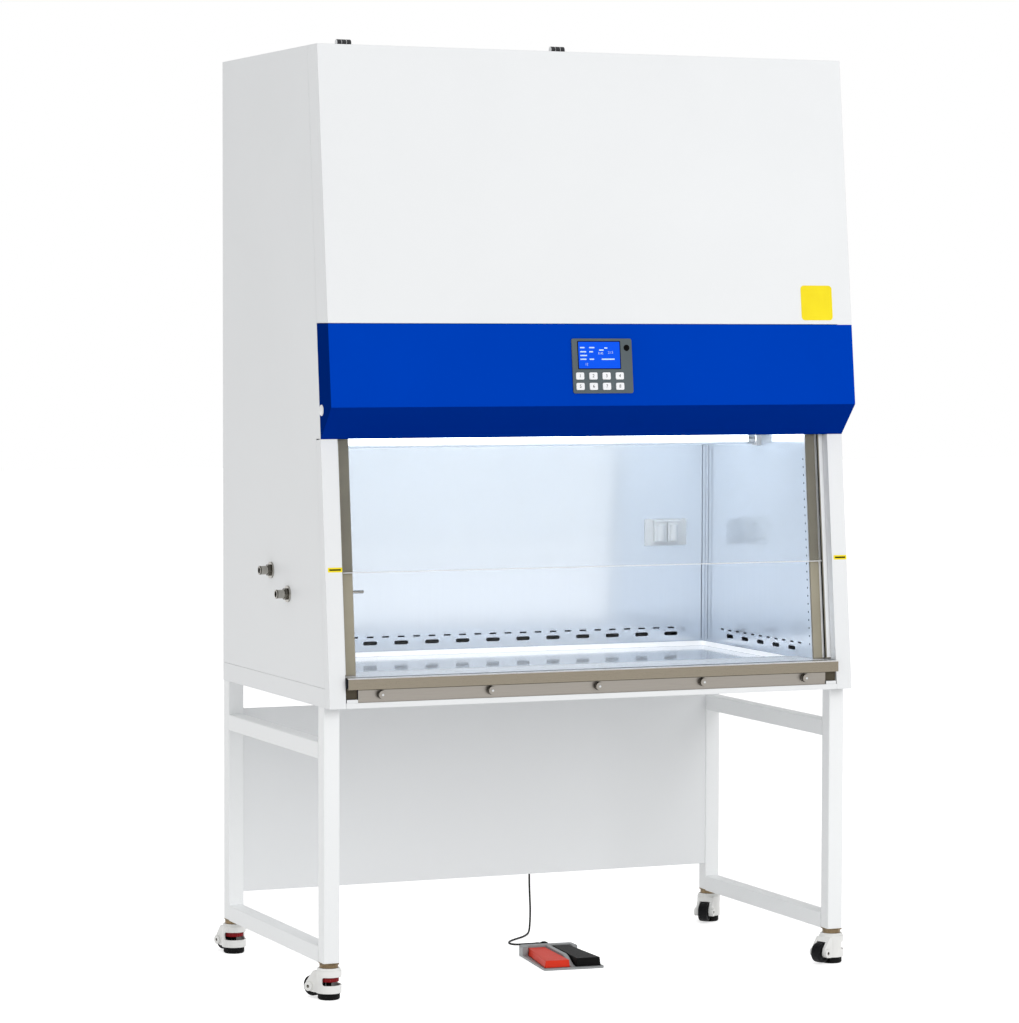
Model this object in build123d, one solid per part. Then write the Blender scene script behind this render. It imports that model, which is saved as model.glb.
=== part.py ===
from build123d import *
from math import atan2, ceil, cos, degrees, pi, radians, sin, tan
import os

# Biosafety cabinet on a stand with levelling casters.
# X runs to the right, -Y is the front, +Z is up, the floor is z = 0, all in millimetres.

# Overall sizes
WIDTH = 1380.0
HEIGHT = 2250.0
BACK_Y = 390.0
SIDE_CAVITY = 80.0             # outer side to the work chamber's wall
CHAMBER_HALF = WIDTH / 2 - SIDE_CAVITY
SHEET = 2.0                    # folded steel sheet
SEAM = 0.5                     # gap between neighbouring sheets
RUNNING_GAP = 0.05             # radial gap of a shaft in its hole
CLEAR = 0.5                    # gap between a moving piece and what it passes

# Sloping front: the side edges lean back by FRONT_TILT from the base upwards
BASE_BOTTOM = 693.0
BASE_TOP = 739.0
FRONT_FOOT_Y = -390.0
FRONT_TILT = 5.685

# Fascia: the hinged cover and the control panel stand out from the sloping front
FASCIA_TOP_Y = -302.0
CHIN_Y = -398.0
CHIN_Z = 1400.0
FASCIA_BOTTOM_Z = 1324.0
COVER_BOTTOM_Z = 1596.0

# Front trims, guides and sash
TRIM_WIDTH = 41.0
TRIM_WRAP = 30.0
TRIM_RETURN = 39.0
TRIM_LIP = 12.0
UPPER_FLANGE = 20.0
GUIDE_OVERLAP = 3.0            # guides past the chamber's walls
GUIDE_BACK_DEPTH = 44.0
GUIDE_PLATE = 4.0
GUIDE_FRONT_DEPTH = 26.0
GUIDE_LIP = 2.5
GUIDE_LIP_WIDTH = 13.0
GUIDE_TOP_Z = 1895.0
GLASS = 6.0
GLASS_GAP = 1.5                # glass to the guides' front lips
SASH_LENGTH = 640.0
SASH_BOTTOM_Z = 1009.0
SASH_UP = 200.0
RAIL_HEIGHT = 30.0
RAIL_WALL = 1.3

# Work chamber
CHAMBER_BACK_Y = 270.0
LINER = 2.0
CEILING_Z = 1400.0
PLENUM_FRONT_Y = -190.0
WORK_Z = 752.0
TRAY_RIM_Z = 764.0
TRAY_SHEET = 2.0
TRAY_RIM = 18.0
TRAY_FRONT_Y = -245.0
SHELF_WIDTH = 18.0
LARGE_SLOT = (38.0, 10.0)
LARGE_SLOT_Z = 784.0
SMALL_SLOT = (18.0, 4.0)
SMALL_SLOT_Z = 799.5
BACK_SLOTS = 13
BACK_SLOT_PITCH = 2 * (CHAMBER_HALF - 103.0) / (BACK_SLOTS - 1)
SIDE_SLOT_PITCH = 87.5
SIDE_SLOTS = 5
SIDE_SLOT_CENTRE_Y = -45.0

# Diffuser slots in the chamber's ceiling
CEILING_SLOT = (50.0, 12.0)
CEILING_GRID = (14, 9)
CEILING_PITCH = (2 * (CHAMBER_HALF - 64.0) / (CEILING_GRID[0] - 1), 46.0)

# Front grille with its armrest nose, sill strip and thumb screws
GRILLE_Z = 765.0
NOSE_Y = -400.0
NOSE_HEIGHT = 27.0
NOSE_GAP = 2.0
NOSE_RADIUS = 3.0
GRILLE_SLOT = (12.0, 4.0)
GRILLE_SLOTS = 58
GRILLE_SLOT_PITCH = 2 * (CHAMBER_HALF - 40.0) / (GRILLE_SLOTS - 1)
GRILLE_SLOT_Y = -258.0
HEM_HEIGHT = 13.0
HEM_DEPTH = 6.0
SILL_HALF = CHAMBER_HALF + 8.0
THUMB_SCREWS = 5
THUMB_PITCH = 2 * (SILL_HALF - 58.0) / (THUMB_SCREWS - 1)
THUMB_RADIUS = 10.0
THUMB_LENGTH = 13.0
THUMB_Z = 724.0

# Sash drive: shaft and pulleys above, idlers below, endless belts between
DRIVE_Z = HEIGHT - 100.0
IDLER_Z = 1385.0
PULLEY_RADIUS = 20.0
PULLEY_CENTRE_X = CHAMBER_HALF - 12.0
PULLEY_WIDTH = 24.0
PULLEY_PROUD = 4.0             # pulley centre in front of the side plane
BELT = 2.0
BELT_WIDTH = 16.0
BELT_GAP = 0.3
BELT_NOTCH = 4.0               # room for the belts in the cover's and panel's flanges
SHAFT_RADIUS = 10.0
SHAFT_HALF = CHAMBER_HALF + 6.0
SHAFT_END = CHAMBER_HALF + 45.0
EAR = 4.0
IDLER_AXLE_RADIUS = 4.0
MOTOR_SIZE = 60.0
MOTOR_END_X = CHAMBER_HALF + 56.0

# Lamps
LAMP_RADIUS = 13.0
LAMP_END = 12.0                # tube's end to the wall, where its holder is
LAMP_LENGTH = 2 * (CHAMBER_HALF - LAMP_END)
LAMP_Y = -25.0
LAMP_Z = CEILING_Z - 96.0
UV_LENGTH = 895.0
UV_Y = 240.0
UV_Z = CEILING_Z - 38.0
UV_HOLDER = 14.0               # width of the wall lamp's holders
LAMP_HOLDER = 34.0

# Socket plate on the back wall
SOCKET_CENTRE = (CHAMBER_HALF - 122.0, 1051.0)
SOCKET_PLATE = (120.0, 70.0, 4.0)
SOCKET_OUTLET = (34.0, 50.0, 6.0)
SOCKET_PITCH = 37.0
FLAP = (35.0, 54.0, 3.0)
FLAP_BULGE = 7.0
FLAP_PIN_RADIUS = 1.5

# Service taps through the left side
TAPS = ((21.5, 995.0), (-100.0, 945.0))
TAP_PIPE_RADIUS = 10.5
TAP_REACH = 32.0
TAP_BORE = 7.5
TAP_FLANGE_RADIUS = 20.0
TAP_FLANGE = 4.0
TAP_BODY_RADIUS = 12.0
TAP_BODY_LENGTH = 35.0
TAP_NOZZLE_RADIUS = 4.0
TAP_NOZZLE_LENGTH = 78.0
TAP_STEM_RADIUS = 4.0
TAP_STEM_HEIGHT = 22.0
TAP_KNOB_RADIUS = 16.0
TAP_KNOB_HEIGHT = 14.0

# Filters and blower
SUPPLY_HEIGHT = 118.0
EXHAUST_SIZE = (500.0, 380.0, 117.0)
EXHAUST_Y = 40.0
FILTER_FRAME = 15.0
PLENUM_HEIGHT = HEIGHT - SHEET - EXHAUST_SIZE[2] - CEILING_Z - SUPPLY_HEIGHT
BLOWER_WIDTH = 160.0
SCROLL_START = 0.245 * PLENUM_HEIGHT
SCROLL_GROWTH = 0.53 * SCROLL_START
SCROLL_OUTLET_Z = CEILING_Z + SUPPLY_HEIGHT + 42.0
SCROLL_TONGUE = 20.0
BLOWER_Z = SCROLL_OUTLET_Z + 1.6 * SCROLL_START
WHEEL_OUTER = 0.8 * SCROLL_START
WHEEL_INNER = WHEEL_OUTER - 22.0
INLET_RADIUS = WHEEL_INNER + 2.0
WHEEL_GAP = 8.0
BLADES = 28
BLADE = 2.0
FAN_SHAFT_RADIUS = 8.0
FAN_MOTOR_RADIUS = 0.41 * SCROLL_START
FAN_MOTOR_LENGTH = 64.0

# Exhaust grille in the top panel
GUARD_SLOT = (14.0, 150.0)
GUARD_PITCH = 30.0
GUARD_SLOTS = 14
GUARD_ROW_GAP = 20.0

EXHAUST_FLANGE = (480.0, 380.0, 3.0)
EXHAUST_OPENING = (424.0, 334.0)

# Cover hinges on the top edge
HINGE_X = (90.0 - WIDTH / 2, -48.0)
HINGE_RADIUS = 8.0
HINGE_LEAF = 3.0
HINGE_KNUCKLE = 12.0
HINGE_PIN_RADIUS = 2.5
HINGE_LEAF_REACH = 26.0

# Control panel plate, screen and keys
PLATE_CENTRE = (7.0, 1495.0)
PLATE_SIZE = (158.0, 132.0, 3.0)
PLATE_CORNER = 5.0
SCREEN_SIZE = (110.0, 65.0)
SCREEN_OFFSET = (-8.0, 26.0)
SCREEN_PROUD = 0.6
SENSOR_RADIUS = 7.5
SENSOR_OFFSET = (65.0, 43.5)
KEY_SIZE = (21.0, 17.0)
KEY_CORNER = 3.0
KEY_PROUD = 2.5
KEY_FLANGE = 1.5
KEY_DEPTH = 4.0
KEY_PITCH = (34.8, 25.0)
KEY_FIRST = (-61.0, -24.5)
KEY_GAP = 0.3
PANEL_WINDOW = (146.0, 120.0)
KEYPAD_DEPTH = 9.5
KEYPAD_BOARD = 2.0

# Stand
TUBE = 40.0
TUBE_WALL = 2.5
TUBE_RADIUS = 3.0
POST_BOTTOM = 87.0
FRONT_POST_Y = -329.0
REAR_POST_Y = 368.0
RAIL_LOW_Z = 104.0
RAIL_HIGH_Z = 589.0
MODESTY_Y = 352.0
MODESTY_Z = (157.0, 622.0)
MODESTY_FOLD = 12.0

# Levelling casters: swivel angle of each, measured from +X
CASTER_ANGLES = {"front_left": 122.0, "front_right": 204.0, "rear_left": 103.0, "rear_right": 229.0}
TRAIL = 43.0
WHEEL_RADIUS = 25.0
WHEEL_WIDTH = 24.5
WHEEL_LIFT = 4.0
WHEEL_CLEAR = 2.0
AXLE_RADIUS = 4.0
HOUSING_RADIUS = 30.5
HOUSING_WALL = 3.2
HOUSING_BOTTOM = 16.0
HOUSING_TOP = 70.0
SEAT_GAP = 0.3
WINDOW_Z = (35.0, 54.3)
CHEEK_INNER = 13.6
CHEEK_OUTER = 21.0
LOBE_RADIUS = 11.0
LOBE_OUTER = 25.8
SPIGOT_RADIUS = 12.0
SPIGOT_LENGTH = 14.0
RACE_RADIUS = 22.5
RACE_PLATE = 3.0
THUMB_WHEEL_RADIUS = 24.0
THUMB_WHEEL_THICK = 8.0
THUMB_NOTCHES = 12
THUMB_NOTCH_RADIUS = 3.0
STEM_RADIUS = 6.0
STEM_TOP = 64.0
FOOT_RADIUS = 26.5
FOOT_HEIGHT = 18.0
FOOT_TREAD = 3.0
FOOT_RISE = 8.0
FOOT_DROP = 7.0

# Foot switch, in its own frame: x to the right, y to the back, from its front left corner
SWITCH_CORNER = (-49.0, -180.0)
SWITCH_TURN = -5.5
SWITCH_FRONT = 158.0
SWITCH_REAR = 142.0
SWITCH_DEPTH = 238.0
SWITCH_PLATE = 5.0
SWITCH_CORNER_RADIUS = 9.0
WELL_FLOOR = 1.6               # plate left under the pedals
WELL_GAP = 1.5
HOOD_FRONT_Y = 214.0
HOOD_TOP_Z = 27.5
HOOD_ROUND = 4.0
ARM_FRONT_Y = 196.0
ARM_WIDTH = 13.0
DIVIDER = 11.0
DIVIDER_TOP_Z = 26.0
DIVIDER_BEND_Y = 88.0
DIVIDER_FRONT_Y = 6.0
PEDAL_GAP = 2.5
PEDAL_FRONT_Y = 12.0
PEDAL_BACK_Y = 212.0
PEDAL_BOTTOM = 5.4
PEDAL_TOPS = {-1: 22.5, 1: 25.5}
PEDAL_DRAFT = 7.0
PEDAL_EDGE = 6.0               # plate's side to the pedal's side at the front
PEDAL_WALL = 3.0
PEDAL_PIN_Y = 204.0
PEDAL_PIN_Z = 14.0
PEDAL_PIN_RADIUS = 3.0
GLAND_RADIUS = 8.0
GLAND_TIP_RADIUS = 4.5
GLAND_LENGTH = 26.0
GLAND_SEAT = 2.0               # gland's root inside the hood
GLAND_X = 84.0
GLAND_Z = 18.0

# Foot switch cable
CABLE_RADIUS = 2.5
CABLE_TOP = (150.0, 379.0)
TOP_GLAND_LENGTH = 16.0
CABLE_LEAD = 26.0              # straight run out of the foot switch's gland

TILT = radians(FRONT_TILT)
SIDE_X = WIDTH / 2
TRIM_X = SIDE_X - TRIM_WIDTH
FASCIA_TILT = atan2(FASCIA_TOP_Y - CHIN_Y, HEIGHT - CHIN_Z)
AXLE_Z = WHEEL_RADIUS + WHEEL_LIFT


def box(x_low, x_high, y_low, y_high, z_low, z_high):
    """A block between two corners."""
    centre = ((x_low + x_high) / 2, (y_low + y_high) / 2, (z_low + z_high) / 2)
    return Pos(*centre) * Box(x_high - x_low, y_high - y_low, z_high - z_low)


def front_y(z, depth=0.0):
    """Y at height z of the plane that lies depth behind the sloping side edges."""
    return FRONT_FOOT_Y + (z - BASE_BOTTOM) * tan(TILT) + depth / cos(TILT)


def along(z, depth=0.0):
    """Distance up the slope of a point at height z, depth behind the slope."""
    return (z - BASE_BOTTOM + depth * sin(TILT)) / cos(TILT)


def fascia_y(z):
    """Y of the cover's and control panel's front face at height z."""
    return FASCIA_TOP_Y - (HEIGHT - z) * tan(FASCIA_TILT)


SLOPE = Plane(origin=(0, FRONT_FOOT_Y, BASE_BOTTOM), x_dir=(1, 0, 0), z_dir=(0, -cos(TILT), sin(TILT)))


def slope_box(x_low, x_high, s_low, s_high, depth_low, depth_high):
    """A block in the slope's frame: across, up the slope and in depth behind it."""
    return SLOPE.location * box(x_low, x_high, s_low, s_high, -depth_high, -depth_low)


def profile_x(points, x_low, x_high):
    """A prism along X over an outline given as (y, z) points."""
    outline = make_face(Polyline(*[(x_low, y, z) for y, z in points], close=True))
    return extrude(outline, amount=x_high - x_low, dir=(1, 0, 0))


def rod_x(radius, x_low, x_high, y, z):
    """A round bar along X."""
    return Pos((x_low + x_high) / 2, y, z) * Rot(0, 90, 0) * Cylinder(radius, x_high - x_low)


def rod_y(radius, y_low, y_high, x, z):
    """A round bar along Y."""
    return Pos(x, (y_low + y_high) / 2, z) * Rot(90, 0, 0) * Cylinder(radius, y_high - y_low)


def rod_z(radius, z_low, z_high, x=0.0, y=0.0):
    """A round bar along Z."""
    return Pos(x, y, (z_low + z_high) / 2) * Cylinder(radius, z_high - z_low)


def mirrored(shape):
    """The same shape on the other side of the cabinet."""
    return mirror(shape, about=Plane.YZ)


def slot_x(size, x, z, y_low, y_high):
    """A round-ended slot through a wall across Y, long along X."""
    middle = box(x - (size[0] - size[1]) / 2, x + (size[0] - size[1]) / 2, y_low, y_high,
                 z - size[1] / 2, z + size[1] / 2)
    ends = [rod_y(size[1] / 2, y_low, y_high, x + side * (size[0] - size[1]) / 2, z) for side in (-1, 1)]
    return middle + ends[0] + ends[1]


def slot_y(size, y, z, x_low, x_high):
    """A round-ended slot through a wall across X, long along Y."""
    middle = box(x_low, x_high, y - (size[0] - size[1]) / 2, y + (size[0] - size[1]) / 2,
                 z - size[1] / 2, z + size[1] / 2)
    ends = [rod_x(size[1] / 2, x_low, x_high, y + side * (size[0] - size[1]) / 2, z) for side in (-1, 1)]
    return middle + ends[0] + ends[1]


# ---------------------------------------------------------------- outer shell

def outer_shell():
    """Left and right side sheets, rear sheet and the two folded front trims."""
    wrap_depth = TRIM_WRAP + SEAM
    trim_top = FASCIA_BOTTOM_Z
    outline = [(front_y(BASE_TOP, wrap_depth), BASE_TOP), (BACK_Y, BASE_TOP), (BACK_Y, HEIGHT),
               (front_y(HEIGHT), HEIGHT), (front_y(trim_top + SEAM), trim_top + SEAM),
               (front_y(trim_top + SEAM, wrap_depth), trim_top + SEAM)]
    side = profile_x(outline, SIDE_X - SHEET, SIDE_X)
    side += slope_box(SIDE_X - UPPER_FLANGE, SIDE_X, along(trim_top + 2 * SEAM), along(HEIGHT) - SHEET, 0, SHEET)
    left = mirrored(side)
    for y, z in TAPS:
        left -= rod_x(TAP_PIPE_RADIUS + SEAM, -SIDE_X - SHEET, -SIDE_X + 2 * SHEET, y, z)
    rear = box(-SIDE_X + SHEET, SIDE_X - SHEET, BACK_Y - SHEET, BACK_Y, BASE_TOP, HEIGHT - SHEET)
    trim = front_trim(along(trim_top))
    return [side, left, rear, trim, mirrored(trim)]


def front_trim(s_top):
    """Right front trim: face, wrap round the side, return beside the glass, and a lip behind the side."""
    s_bottom = 0.0
    face = slope_box(TRIM_X, SIDE_X, s_bottom, s_top, 0, SHEET)
    wrap = slope_box(SIDE_X - SHEET, SIDE_X, s_bottom, s_top, 0, TRIM_WRAP)
    inner = slope_box(TRIM_X, TRIM_X + SHEET, s_bottom, s_top, 0, TRIM_RETURN)
    lip = slope_box(SIDE_X - 2 * SHEET, SIDE_X - SHEET, s_bottom, s_top, TRIM_WRAP - SHEET, TRIM_WRAP + TRIM_LIP)
    trim = face + wrap + inner + lip
    # the bottom end is cut level with the base
    return trim - box(TRIM_X - 1, SIDE_X + 1, FRONT_FOOT_Y - 10, FRONT_FOOT_Y + 60, BASE_BOTTOM - 10, BASE_BOTTOM)


def top_panel():
    """Roof sheet with the slotted exhaust guard and its flange, and the fixed half of each cover hinge."""
    roof = box(-SIDE_X + SHEET, SIDE_X - SHEET, front_y(HEIGHT) + SHEET, BACK_Y, HEIGHT - SHEET, HEIGHT)
    first = -(GUARD_SLOTS - 1) * GUARD_PITCH / 2
    for index in range(GUARD_SLOTS):
        x = first + index * GUARD_PITCH
        for side in (-1, 1):
            y = EXHAUST_Y + side * (GUARD_SLOT[1] + GUARD_ROW_GAP) / 2
            roof -= box(x - GUARD_SLOT[0] / 2, x + GUARD_SLOT[0] / 2, y - GUARD_SLOT[1] / 2,
                        y + GUARD_SLOT[1] / 2, HEIGHT - 2 * SHEET, HEIGHT + SHEET)
    flange, opening = EXHAUST_FLANGE, EXHAUST_OPENING
    roof += box(-flange[0] / 2, flange[0] / 2, EXHAUST_Y - flange[1] / 2, EXHAUST_Y + flange[1] / 2,
                HEIGHT, HEIGHT + flange[2])
    roof -= box(-opening[0] / 2, opening[0] / 2, EXHAUST_Y - opening[1] / 2, EXHAUST_Y + opening[1] / 2,
                HEIGHT, HEIGHT + 2 * flange[2])
    return [roof] + [fixed_hinge(x) for x in HINGE_X]


HINGE_Y = front_y(HEIGHT) - SEAM
HINGE_Z = HEIGHT + HINGE_RADIUS


def fixed_hinge(x):
    """Leaf on the roof with the middle knuckle and the pin."""
    half = HINGE_KNUCKLE / 2
    leaf = box(x - half, x + half, HINGE_Y, HINGE_Y + HINGE_LEAF_REACH, HEIGHT, HEIGHT + HINGE_LEAF)
    knuckle = rod_x(HINGE_RADIUS, x - half, x + half, HINGE_Y, HINGE_Z)
    pin = rod_x(HINGE_PIN_RADIUS, x - 1.5 * HINGE_KNUCKLE, x + 1.5 * HINGE_KNUCKLE, HINGE_Y, HINGE_Z)
    return leaf + knuckle + pin


def fascia_box(z_low, z_high, chin=False):
    """A folded box on the front, open at the back, from its side outline."""
    outline = [(front_y(z_high) - SEAM, z_high), (fascia_y(z_high), z_high)]
    if chin:
        outline += [(CHIN_Y, CHIN_Z)]
    else:
        outline += [(fascia_y(z_low), z_low)]
    outline += [(front_y(z_low) - SEAM, z_low)]
    solid = profile_x(outline, -SIDE_X, SIDE_X)
    back = solid.faces().sort_by(Axis.Y)[-1]
    return offset(solid, amount=-SHEET, openings=back)


def belt_notches():
    """Blocks that cut the cover's and the panel's flanges open round the belts."""
    half = BELT_WIDTH / 2 + BELT_NOTCH
    deep = PULLEY_PROUD + PULLEY_RADIUS + BELT + BELT_NOTCH
    s = along(COVER_BOTTOM_Z)
    notch = slope_box(PULLEY_CENTRE_X - half, PULLEY_CENTRE_X + half, s - 10, s + 10, -deep, BELT_NOTCH)
    return notch + mirrored(notch)


def front_cover():
    """Hinged cover over the sash drive, with the outer knuckles of its hinges."""
    cover = fascia_box(COVER_BOTTOM_Z + SEAM, HEIGHT) - belt_notches()
    half = HINGE_KNUCKLE / 2
    for x in HINGE_X:
        for side in (-1, 1):
            near = x + side * (half + CLEAR)
            far = x + side * 1.5 * HINGE_KNUCKLE
            low, high = min(near, far), max(near, far)
            leaf = box(low, high, HINGE_Y - HINGE_LEAF_REACH, HINGE_Y, HEIGHT, HEIGHT + HINGE_LEAF)
            knuckle = rod_x(HINGE_RADIUS, low, high, HINGE_Y, HINGE_Z)
            bore = rod_x(HINGE_PIN_RADIUS + RUNNING_GAP, low - 1, high + 1, HINGE_Y, HINGE_Z)
            cover += leaf + knuckle - bore
            cover -= bore
    return cover


PANEL = Plane(origin=(PLATE_CENTRE[0], fascia_y(PLATE_CENTRE[1]), PLATE_CENTRE[1]), x_dir=(1, 0, 0),
              z_dir=(0, -cos(FASCIA_TILT), sin(FASCIA_TILT)))


def plate_block(size, centre, low, high, corner=0.0):
    """A block on the control panel's face, from low to high above the face."""
    outline = Pos(centre[0], centre[1]) * (RectangleRounded(*size, corner) if corner else Rectangle(*size))
    return PANEL.location * (Pos(0, 0, low) * extrude(outline, amount=high - low))


def control_panel():
    """Blue lower fascia with its chin, the window behind the keypad and the keypad's tray."""
    panel = fascia_box(FASCIA_BOTTOM_Z, COVER_BOTTOM_Z - SEAM, chin=True) - belt_notches()
    panel -= plate_block(PANEL_WINDOW, (0, 0), -2 * SHEET, SHEET)
    tray = plate_block((PANEL_WINDOW[0] + 2 * SHEET, PANEL_WINDOW[1] + 2 * SHEET), (0, 0), -KEYPAD_DEPTH, -SHEET / 2)
    tray -= plate_block(PANEL_WINDOW, (0, 0), -KEYPAD_DEPTH + KEYPAD_BOARD, SHEET)
    return panel + tray


def key_places():
    """Centres of the eight keys on the plate, row by row."""
    return [(KEY_FIRST[0] + column * KEY_PITCH[0], KEY_FIRST[1] - row * KEY_PITCH[1])
            for row in range(2) for column in range(4)]


def display_plate():
    """Grey plate on the panel with holes for the screen, the sensor and the keys."""
    plate = plate_block(PLATE_SIZE[:2], (0, 0), 0, PLATE_SIZE[2], PLATE_CORNER)
    plate -= plate_block(SCREEN_SIZE, SCREEN_OFFSET, -1, PLATE_SIZE[2] + 1)
    plate -= PANEL.location * Pos(SENSOR_OFFSET[0], SENSOR_OFFSET[1], 0) * Cylinder(SENSOR_RADIUS, 4 * PLATE_SIZE[2])
    hole = (KEY_SIZE[0] + 2 * KEY_GAP, KEY_SIZE[1] + 2 * KEY_GAP)
    for centre in key_places():
        plate -= plate_block(hole, centre, -1, PLATE_SIZE[2] + 1, KEY_CORNER)
    return plate


def display_screen():
    """Screen glass and the round sensor window, set in the plate."""
    screen = plate_block(SCREEN_SIZE, SCREEN_OFFSET, -SHEET, PLATE_SIZE[2] + SCREEN_PROUD)
    length = SHEET + PLATE_SIZE[2] + SCREEN_PROUD
    sensor = Pos(SENSOR_OFFSET[0], SENSOR_OFFSET[1], length / 2 - SHEET) * Cylinder(SENSOR_RADIUS, length)
    return [screen, PANEL.location * sensor]


def key(centre):
    """One key: a rounded cap through the plate with a flange behind it."""
    cap = plate_block(KEY_SIZE, centre, -KEY_FLANGE - CLEAR, PLATE_SIZE[2] + KEY_PROUD, KEY_CORNER)
    flange = plate_block((KEY_SIZE[0] + 2, KEY_SIZE[1] + 2), centre, -KEY_FLANGE - CLEAR, -CLEAR, KEY_CORNER)
    stem = plate_block((KEY_SIZE[0] / 3, KEY_SIZE[1] / 3), centre, -KEY_DEPTH, -KEY_FLANGE)
    return cap + flange + stem


# ---------------------------------------------------------------- base and chamber

def base_tray():
    """Bottom pan of the cabinet with side and rear walls and a hem along the front."""
    tongue_half = TRIM_X - SEAM
    behind_trims = front_y(BASE_BOTTOM, TRIM_WRAP + TRIM_LIP) + SEAM
    floor = box(-SIDE_X, SIDE_X, behind_trims, BACK_Y, BASE_BOTTOM, BASE_BOTTOM + SHEET)
    floor += box(-tongue_half, tongue_half, FRONT_FOOT_Y, behind_trims, BASE_BOTTOM, BASE_BOTTOM + SHEET)
    wall_top = BASE_TOP - SEAM
    depth = TRIM_WRAP + SEAM
    side = profile_x([(front_y(BASE_BOTTOM, depth), BASE_BOTTOM), (BACK_Y, BASE_BOTTOM), (BACK_Y, wall_top),
                      (front_y(wall_top, depth), wall_top)], SIDE_X - SHEET, SIDE_X)
    rear = box(-SIDE_X, SIDE_X, BACK_Y - SHEET, BACK_Y, BASE_BOTTOM, wall_top)
    hem = box(-tongue_half, tongue_half, FRONT_FOOT_Y, FRONT_FOOT_Y + HEM_DEPTH, BASE_BOTTOM,
              BASE_BOTTOM + HEM_HEIGHT)
    return floor + side + mirrored(side) + rear + hem


def inner_walls():
    """Chamber liner: side walls, back wall, slotted ceiling, plenum front wall and the tray's shelves."""
    low = BASE_BOTTOM + SHEET
    high = HEIGHT - SHEET
    back = CHAMBER_BACK_Y + LINER
    outline = [(front_y(low, GUIDE_BACK_DEPTH), low), (back, low), (back, high),
               (PLENUM_FRONT_Y - LINER, high), (PLENUM_FRONT_Y - LINER, CEILING_Z),
               (front_y(CEILING_Z, GUIDE_BACK_DEPTH), CEILING_Z)]
    right = profile_x(outline, CHAMBER_HALF, CHAMBER_HALF + LINER)
    first = SIDE_SLOT_CENTRE_Y - (SIDE_SLOTS - 1) / 2 * SIDE_SLOT_PITCH
    for index in range(SIDE_SLOTS):
        right -= slot_y(LARGE_SLOT, first + index * SIDE_SLOT_PITCH, LARGE_SLOT_Z, CHAMBER_HALF - 1,
                        CHAMBER_HALF + LINER + 1)
    for index in range(2 * SIDE_SLOTS + 1):
        y = first + (index - 1) * SIDE_SLOT_PITCH / 2
        right -= box(CHAMBER_HALF - 1, CHAMBER_HALF + LINER + 1, y - SMALL_SLOT[0] / 2, y + SMALL_SLOT[0] / 2,
                     SMALL_SLOT_Z - SMALL_SLOT[1] / 2, SMALL_SLOT_Z + SMALL_SLOT[1] / 2)
    shelf_top = WORK_Z - TRAY_SHEET
    shelf = box(CHAMBER_HALF - SHELF_WIDTH, CHAMBER_HALF, front_y(shelf_top, GUIDE_BACK_DEPTH) + 40,
                CHAMBER_BACK_Y, shelf_top - LINER, shelf_top)
    left = mirrored(right)
    for y, z in TAPS:
        left -= rod_x(TAP_PIPE_RADIUS + SEAM, -CHAMBER_HALF - 2 * LINER, -CHAMBER_HALF + LINER, y, z)
    rear = box(-CHAMBER_HALF, CHAMBER_HALF, CHAMBER_BACK_Y, back, low, high)
    rear -= rod_y(INLET_RADIUS, CHAMBER_BACK_Y - 1, back + 1, 0, BLOWER_Z)
    for index in range(BACK_SLOTS):
        x = (index - (BACK_SLOTS - 1) / 2) * BACK_SLOT_PITCH
        rear -= slot_x(LARGE_SLOT, x, LARGE_SLOT_Z, CHAMBER_BACK_Y - 1, back + 1)
    for index in range(2 * BACK_SLOTS - 1):
        x = (index - (BACK_SLOTS - 1)) * BACK_SLOT_PITCH / 2
        rear -= box(x - SMALL_SLOT[0] / 2, x + SMALL_SLOT[0] / 2, CHAMBER_BACK_Y - 1, back + 1,
                    SMALL_SLOT_Z - SMALL_SLOT[1] / 2, SMALL_SLOT_Z + SMALL_SLOT[1] / 2)
    front = box(-CHAMBER_HALF, CHAMBER_HALF, PLENUM_FRONT_Y - LINER, PLENUM_FRONT_Y, CEILING_Z, high)
    return [right, left, rear, front, ceiling(), shelf, mirrored(shelf)]


def ceiling():
    """Air diffuser over the chamber, slotted below the supply filter."""
    plate = box(-CHAMBER_HALF, CHAMBER_HALF, front_y(CEILING_Z, GUIDE_BACK_DEPTH), CHAMBER_BACK_Y,
                CEILING_Z - LINER, CEILING_Z)
    middle_y = (PLENUM_FRONT_Y + CHAMBER_BACK_Y) / 2
    for column in range(CEILING_GRID[0]):
        x = (column - (CEILING_GRID[0] - 1) / 2) * CEILING_PITCH[0]
        for row in range(CEILING_GRID[1]):
            y = middle_y + (row - (CEILING_GRID[1] - 1) / 2) * CEILING_PITCH[1]
            plate -= box(x - CEILING_SLOT[0] / 2, x + CEILING_SLOT[0] / 2, y - CEILING_SLOT[1] / 2,
                         y + CEILING_SLOT[1] / 2, CEILING_Z - 2 * LINER, CEILING_Z + LINER)
    return plate


def work_tray():
    """Dished work surface with a raised rim, lifted out by hand."""
    half = CHAMBER_HALF - 2 * SEAM
    back = CHAMBER_BACK_Y - 2 * SEAM
    tray = box(-half, half, TRAY_FRONT_Y, back, WORK_Z - TRAY_SHEET, TRAY_RIM_Z)
    return tray - box(-half + TRAY_RIM, half - TRAY_RIM, TRAY_FRONT_Y + TRAY_RIM, back - TRAY_RIM,
                      WORK_Z, TRAY_RIM_Z + 1)


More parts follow.
